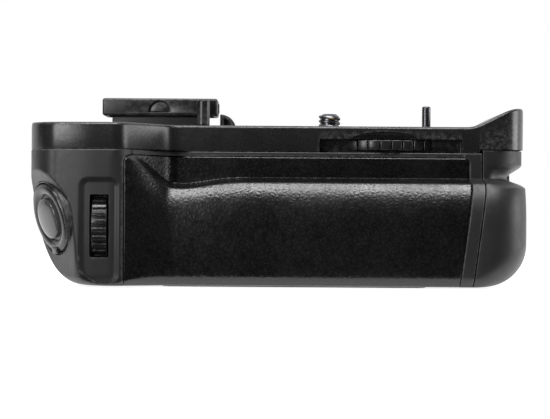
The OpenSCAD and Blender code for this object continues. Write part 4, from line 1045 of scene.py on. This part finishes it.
def guide_fin():
    """Curved fin beside the connector that steers the cover on."""
    low, high = corners("cap_guide")
    length, height = high.x - low.x, high.z - low.z
    x0, z0 = low.x + 1.1, low.z + 0.9
    curve = arc(low.x, low.z, length, height, 0, 1, 20)
    hollow = arc(x0, z0, length - 2.6, height - 2.2, 0, 1, 12)
    front = prism([(low.x, low.z)] + curve[:-1] + [(high.x, low.z)], -high.y, -low.y)
    mesh = shape_mesh(placed(front, UP_FRONT))
    window = prism([(x0, z0)] + hollow, -low.y - 1.4, -low.y + 1)
    return bevelled(cut(mesh, [placed(window, UP_FRONT)]), 0.25)


def mount_screw():
    """Camera screw: a core with a rolled thread and a chamfered point."""
    low, high = corners("mount_screw")
    r, shank, core, ridge, pitch = 3.175, 2.975, 2.7, 0.45, 1.27
    outline = [(0, low.z), (shank, low.z), (shank, PLATE_TOP), (core, PLATE_TOP), (core, high.z - 0.6),
               (core - 0.8, high.z), (0, high.z)]
    mesh = turned_piece(outline, at((SCREW.x, SCREW.y, 0)))
    height = high.z - 0.5 - PLATE_TOP - ridge
    place = at(Vector((SCREW.x, SCREW.y, PLATE_TOP + ridge)) * MM)
    thread = grown(bpy.data.meshes.new("empty"), THREAD, place, Radius=(r - ridge) * MM,
                   Turns=height / pitch, Height=height * MM, Ridge=ridge * MM)
    return merged(mesh, thread)


def peg(node, radius, tip, groove=0.0):
    """Locating peg: a stepped root and a shank with a rounded tip."""
    low, high = corners(node)
    centre, root, neck = (low + high) / 2, radius + 0.4, radius - groove
    tip_arc = arc(radius - tip, high.z - tip, tip, tip, 1, 0, 8)
    outline = [(0, low.z), (root, low.z), (root, PLATE_TOP - 0.02), (neck, PLATE_TOP),
               (neck, PLATE_TOP + 0.35), (radius, PLATE_TOP + 0.6)] + tip_arc + [(0, high.z)]
    return turned_piece(outline, at((centre.x, centre.y, 0)), 64)


def rear_pad():
    """Leather-grained pad on the rear face, with rolled edges."""
    low, high = corners("rear_grip_rubber")
    corner, rings = 3.9, []
    for inset, lift in ((0, 0), (0, 0.3), (0.06, 0.45), (0.2, 0.58), (0.45, high.y - low.y)):
        x0, x1, z0, z1 = low.x + inset, high.x - inset, low.z + inset, high.z - inset
        outline = round_corners([(x0, z0), (x0, z1), (x1, z1), (x1, z0)], corner, 8)
        rings.append([(x, low.y + lift, z) for x, z in outline])
    return shape_mesh(ring_solid(rings))


def af_button():
    back = -WALL - 1.6
    face = [(AF_R, 0.25), (AF_R - 0.12, 0.5), (AF_R - 0.45, 0.68), (AF_R - 1.2, 0.6), (1.2, 0.42), (0, 0.4)]
    outline = [(0, back), (AF_R + 0.9, back), (AF_R + 0.9, -WALL - 0.2), (AF_R, -WALL - 0.2)] + face
    return turned_piece(outline, at((AF.x, REAR, AF.z), TO_REAR))


def selector_bezel():
    bore, seat, rim, chamfer = PAD_R + 0.8, PAD_R - 0.6, PAD_BEZEL_R, 0.15
    outline = [(seat, -5.2), (rim, -5.2), (rim, -chamfer), (rim - chamfer, 0), (bore + chamfer, 0),
               (bore, -chamfer), (bore, -2.6), (seat, -2.6)]
    return turned_piece(outline, at((PAD.x, REAR, PAD.z), TO_REAR))


def selector_pad():
    """Eight-way pad: a dished face with rounded studs round it."""
    face = [(PAD_R, 0.05), (PAD_R - 0.15, 0.4), (PAD_R - 0.6, 0.55), (3, 0.4), (0, 0.3)]
    outline = [(0, -5), (1.4, -5), (1.4, -1.6), (PAD_R, -1.6)] + face
    body = turned_piece(outline, at((PAD.x, REAR, PAD.z), TO_REAR))
    stud = shape_mesh(turned([(0, 0), (0.42, 0), (0.36, 0.16), (0.2, 0.26), (0, 0.29)], 20))
    studs = grown(stud, RING, at(Vector((PAD.x, REAR + 0.44, PAD.z)) * MM, TO_REAR), Count=8, Radius=4 * MM)
    axle = rod(Z_AXIS, (PAD.x, pivot("selector_sway").y, PAD.z - 4.1), 8.2, 0.5, 20)
    return merged(body, studs, shape_mesh(axle))


def latch_knob():
    """Latch knob: a disc on its shaft, sunk for the fold-out key."""
    low, high = corners("latch_knob")
    key_low, key_high = corners("latch_key")
    x0, key_r, key_z = high.x - KNOB_T, KNOB_R - 1.45, KNOB.z + 0.95
    outline = [(0, 0), (KNOB_R - 0.2, 0), (KNOB_R, 0.2), (KNOB_R, KNOB_T - 0.3), (KNOB_R - 0.3, KNOB_T),
               (0, KNOB_T)]
    mesh = turned_piece(outline, at((x0, KNOB.y, KNOB.z), TO_X), 144)
    bed = [(y, min(z, key_z)) for y, z in arc(KNOB.y, KNOB.z, key_r, key_r, -1, -3, 40)]
    bed += [(KNOB.y + key_r, key_z), (KNOB.y - key_r, key_z)]
    lay = Matrix(((0, 0, 1, 0), (1, 0, 0, 0), (0, 1, 0, 0), (0, 0, 0, 1)))
    mesh = cut(mesh, [placed(prism(bed, key_low.x - 0.35, high.x + 1), lay)])
    shaft = rod(X_AXIS, (low.x, KNOB.y, KNOB.z), x0 + 0.5 - low.x, SHAFT_R, 48)
    hinge = rod(Y_AXIS, ((key_low.x + key_high.x) / 2, key_low.y - 0.2, KNOB.z),
                key_high.y - key_low.y + 0.4, 0.45, 24)
    return merged(cut(mesh, [hinge]), shape_mesh(shaft))


def base_screw_heads():
    """Countersunk base screws with cross recesses, set out on a grid."""
    low, high = corners("base_screws")
    r, arm, size = 2, (1.15, 0.2), high - low
    head = turned([(0, 0), (r, 0), (r, 0.15), (1, 1.1), (1, size.z), (0, size.z)], 40)
    cross = [block((-x, -y, -1), (x, y, 0.5)) for x, y in (arm, arm[::-1])]
    place = at(Vector(((low.x + high.x) / 2, (low.y + high.y) / 2, low.z)) * MM)
    return grown(cut(shape_mesh(head), cross), COPIES, place, Across=2, Along=2,
                 Width=(size.x - 2 * r) * MM, Length=(size.y - 2 * r) * MM)


WHEEL_RIM = ribbed_wheel(WHEEL_BORE, WHEEL_R, WHEEL_T, WHEEL_COUNT, WHEEL_GROOVE, WHEEL_SHARE, WHEEL)
FRONT_RIM, REAR_RIM = [
    ribbed_wheel(DIAL_BORE, radius, width, DIAL_COUNT, DIAL_RIB, DIAL_SHARE, centre, TO_X)
    for radius, width, centre in ((DIAL_R, DIAL_W, DIAL), (REAR_DIAL_R, REAR_DIAL_W, REAR_DIAL))]
PIN_R, PIN_TIP, POST_R, POST_TIP, POST_GROOVE = 1.25, 0.5, 1.9, 0.45, 0.25

piece("housing", housing(), HOUSING, "grip", "housing_shell")
piece("front_grip", grip_skin(), RUBBER, "grip", "front_grip_rubber")
piece("tray_cover", bevelled(end_cap(), 0.25, 50), HOUSING, "tray", "tray_end_cap")
piece("top_cover", top_cover(), PLATE_PAINT, "grip", "top_plate")
piece("thumbwheel", WHEEL_RIM, CONTROL, "wheel")
piece("front_dial", FRONT_RIM, CONTROL, "front_dial")
piece("rear_dial", REAR_RIM, CONTROL, "rear_dial")
piece("release_button", release_button(), BUTTON, "release")
piece("lock_collar", lock_collar(), CONTROL, "collar")
piece("release_bezel", release_bezel(), HOUSING, "grip")
piece("connector_cover", bevelled(connector_cover(), 0.12, 50), COVER, "cap", "connector_cap")
piece("connector_seat", connector_seat(), INNER, "grip", "connector_base")
piece("guide_fin", guide_fin(), INNER, "grip", "cap_guide")
piece("mount_screw", mount_screw(), SHADED_STEEL_COPY, "screw")
piece("locating_pin", peg("locating_pin", PIN_R, PIN_TIP), SHADED_STEEL_COPY, "grip")
piece("locating_post", peg("locating_post", POST_R, POST_TIP, POST_GROOVE), CONTROL, "grip")
piece("rear_grip", rear_pad(), RUBBER, "grip", "rear_grip_rubber")
piece("af_lock_button", af_button(), BUTTON, "af_button")
piece("selector_bezel", selector_bezel(), CONTROL, "grip")
piece("selector_pad", selector_pad(), CONTROL, "pad")
piece("latch_knob", bevelled(latch_knob(), 0.15, 50), CONTROL, "latch")
piece("base_screws", base_screw_heads(), STEEL, "grip")
for name, obj in NODES.items():
    wanted = FINISH_OF_SLOT[SLOT_OF_NODE[name]]
    for socket in obj.material_slots:
        socket.material = wanted


# Stage, light and camera, in metres

EYE = Vector((-1.4, -560, 21.4)) * MM
LENS, FILM_W, ROLL = 128.6, 36, 0.4
ROOM_LIGHT = 0.15
# Painted dark reflections: dark cards seen only in reflections keep the front and the sides from mirroring
# the white room; they cast no shadow and block no light: half size, place, turn
DARK_REFLECTION_CARDS = [("front_dark_reflection", (1.1, 0.8), (0, -0.85, 0.75), UP_FRONT),
               ("left_dark_reflection", (0.8, 0.6), (-0.95, -0.25, 0.75), TO_X),
               ("right_dark_reflection", (0.8, 0.6), (0.95, -0.25, 0.75), TO_X),
               ("table_dark_reflection", (0.9, 0.405), (0, -0.435, 0.001), FLAT)]
# Lamps: place, where each points, width, height and watts
LAMPS = [("top_softbox", (0, -0.26, 0.56), (0, -0.02, 0.02), 0.6, 0.14, 4.4),
         ("left_softbox", (-0.17, -0.24, 0.09), (-0.055, -0.02, 0.03), 0.09, 0.13, 0.36),
         ("right_softbox", (0.66, 0.05, 0.13), (-0.04, -0.02, 0.03), 0.3, 0.24, 1.3)]


def card(name, size, place, turn, paint):
    """A flat card beside or under the object."""
    bm = bmesh.new()
    bmesh.ops.create_grid(bm, x_segments=8, y_segments=8, size=1)
    bmesh.ops.scale(bm, vec=(*size, 1), verts=bm.verts)
    mesh = bpy.data.meshes.new(name)
    bm.to_mesh(mesh)
    bm.free()
    mesh.materials.append(paint)
    obj = linked(name, mesh)
    obj.matrix_world = at(place, turn)
    return obj


def seen_ray(tree):
    """1 for rays that show the background: to the camera, off gloss or through glass."""
    rays = add(tree, "ShaderNodeLightPath")
    return maths("MAXIMUM", maths("MAXIMUM", rays["Is Camera Ray"], rays["Is Glossy Ray"]),
                 rays["Is Transmission Ray"])


def stage_paint(name, level, glow):
    """Matt mottled paint; glow lifts it to white where it is seen as background."""
    f = Finish(name, "stage", specular=0)
    paint = f.done(tint(noise(place_of(f.tree), 6)["Fac"], grey(level * 0.97), grey(level)), 0.9)
    if glow:
        feed(f.inputs["Emission Color"], grey(1))
        feed(f.inputs["Emission Strength"], times(seen_ray(f.tree), glow))
    return paint


# The room is white where it is seen as background, and a dim grey for lighting
world = bpy.data.worlds.new("white_room")
bpy.context.scene.world = world
world.use_nodes = True
back = world.node_tree.nodes["Background"].inputs
feed(back["Strength"], maths("MAXIMUM", seen_ray(world.node_tree), ROOM_LIGHT))
feed(back["Color"], grey(1))
card("floor", (3, 3), (0, 2.2, -0.0002), FLAT, stage_paint("white_floor", 0.82, 0.88))
# Painted dark reflection: the cards are hidden from the camera, from diffuse rays and from shadows, so they
# only darken what glossy surfaces mirror
DARK_REFLECTION_PAINT = stage_paint("painted_dark_reflection", 0.02, 0)
for reflection_card in DARK_REFLECTION_CARDS:
    flag = card(*reflection_card, DARK_REFLECTION_PAINT)
    flag.visible_camera = flag.visible_diffuse = flag.visible_shadow = False
for name, place, target, width, height, power in LAMPS:
    light = bpy.data.lights.new(name, "AREA")
    light.shape, light.size, light.size_y, light.energy = "RECTANGLE", width, height, power
    lamp = linked(name, light)
    lamp.location = Vector(place)
    lamp.rotation_euler = (Vector(target) - Vector(place)).to_track_quat("-Z", "Y").to_euler()
camera_data = bpy.data.cameras.new("camera")
camera_data.lens, camera_data.sensor_width, camera_data.sensor_fit = LENS, FILM_W, "HORIZONTAL"
camera_data.clip_start, camera_data.clip_end = 0.01, 20
camera = linked("camera", camera_data)
camera.matrix_world = at(EYE, UP_FRONT @ spin("Z", ROLL))
bpy.context.scene.camera = camera
bpy.context.scene.view_settings.view_transform = "Standard"
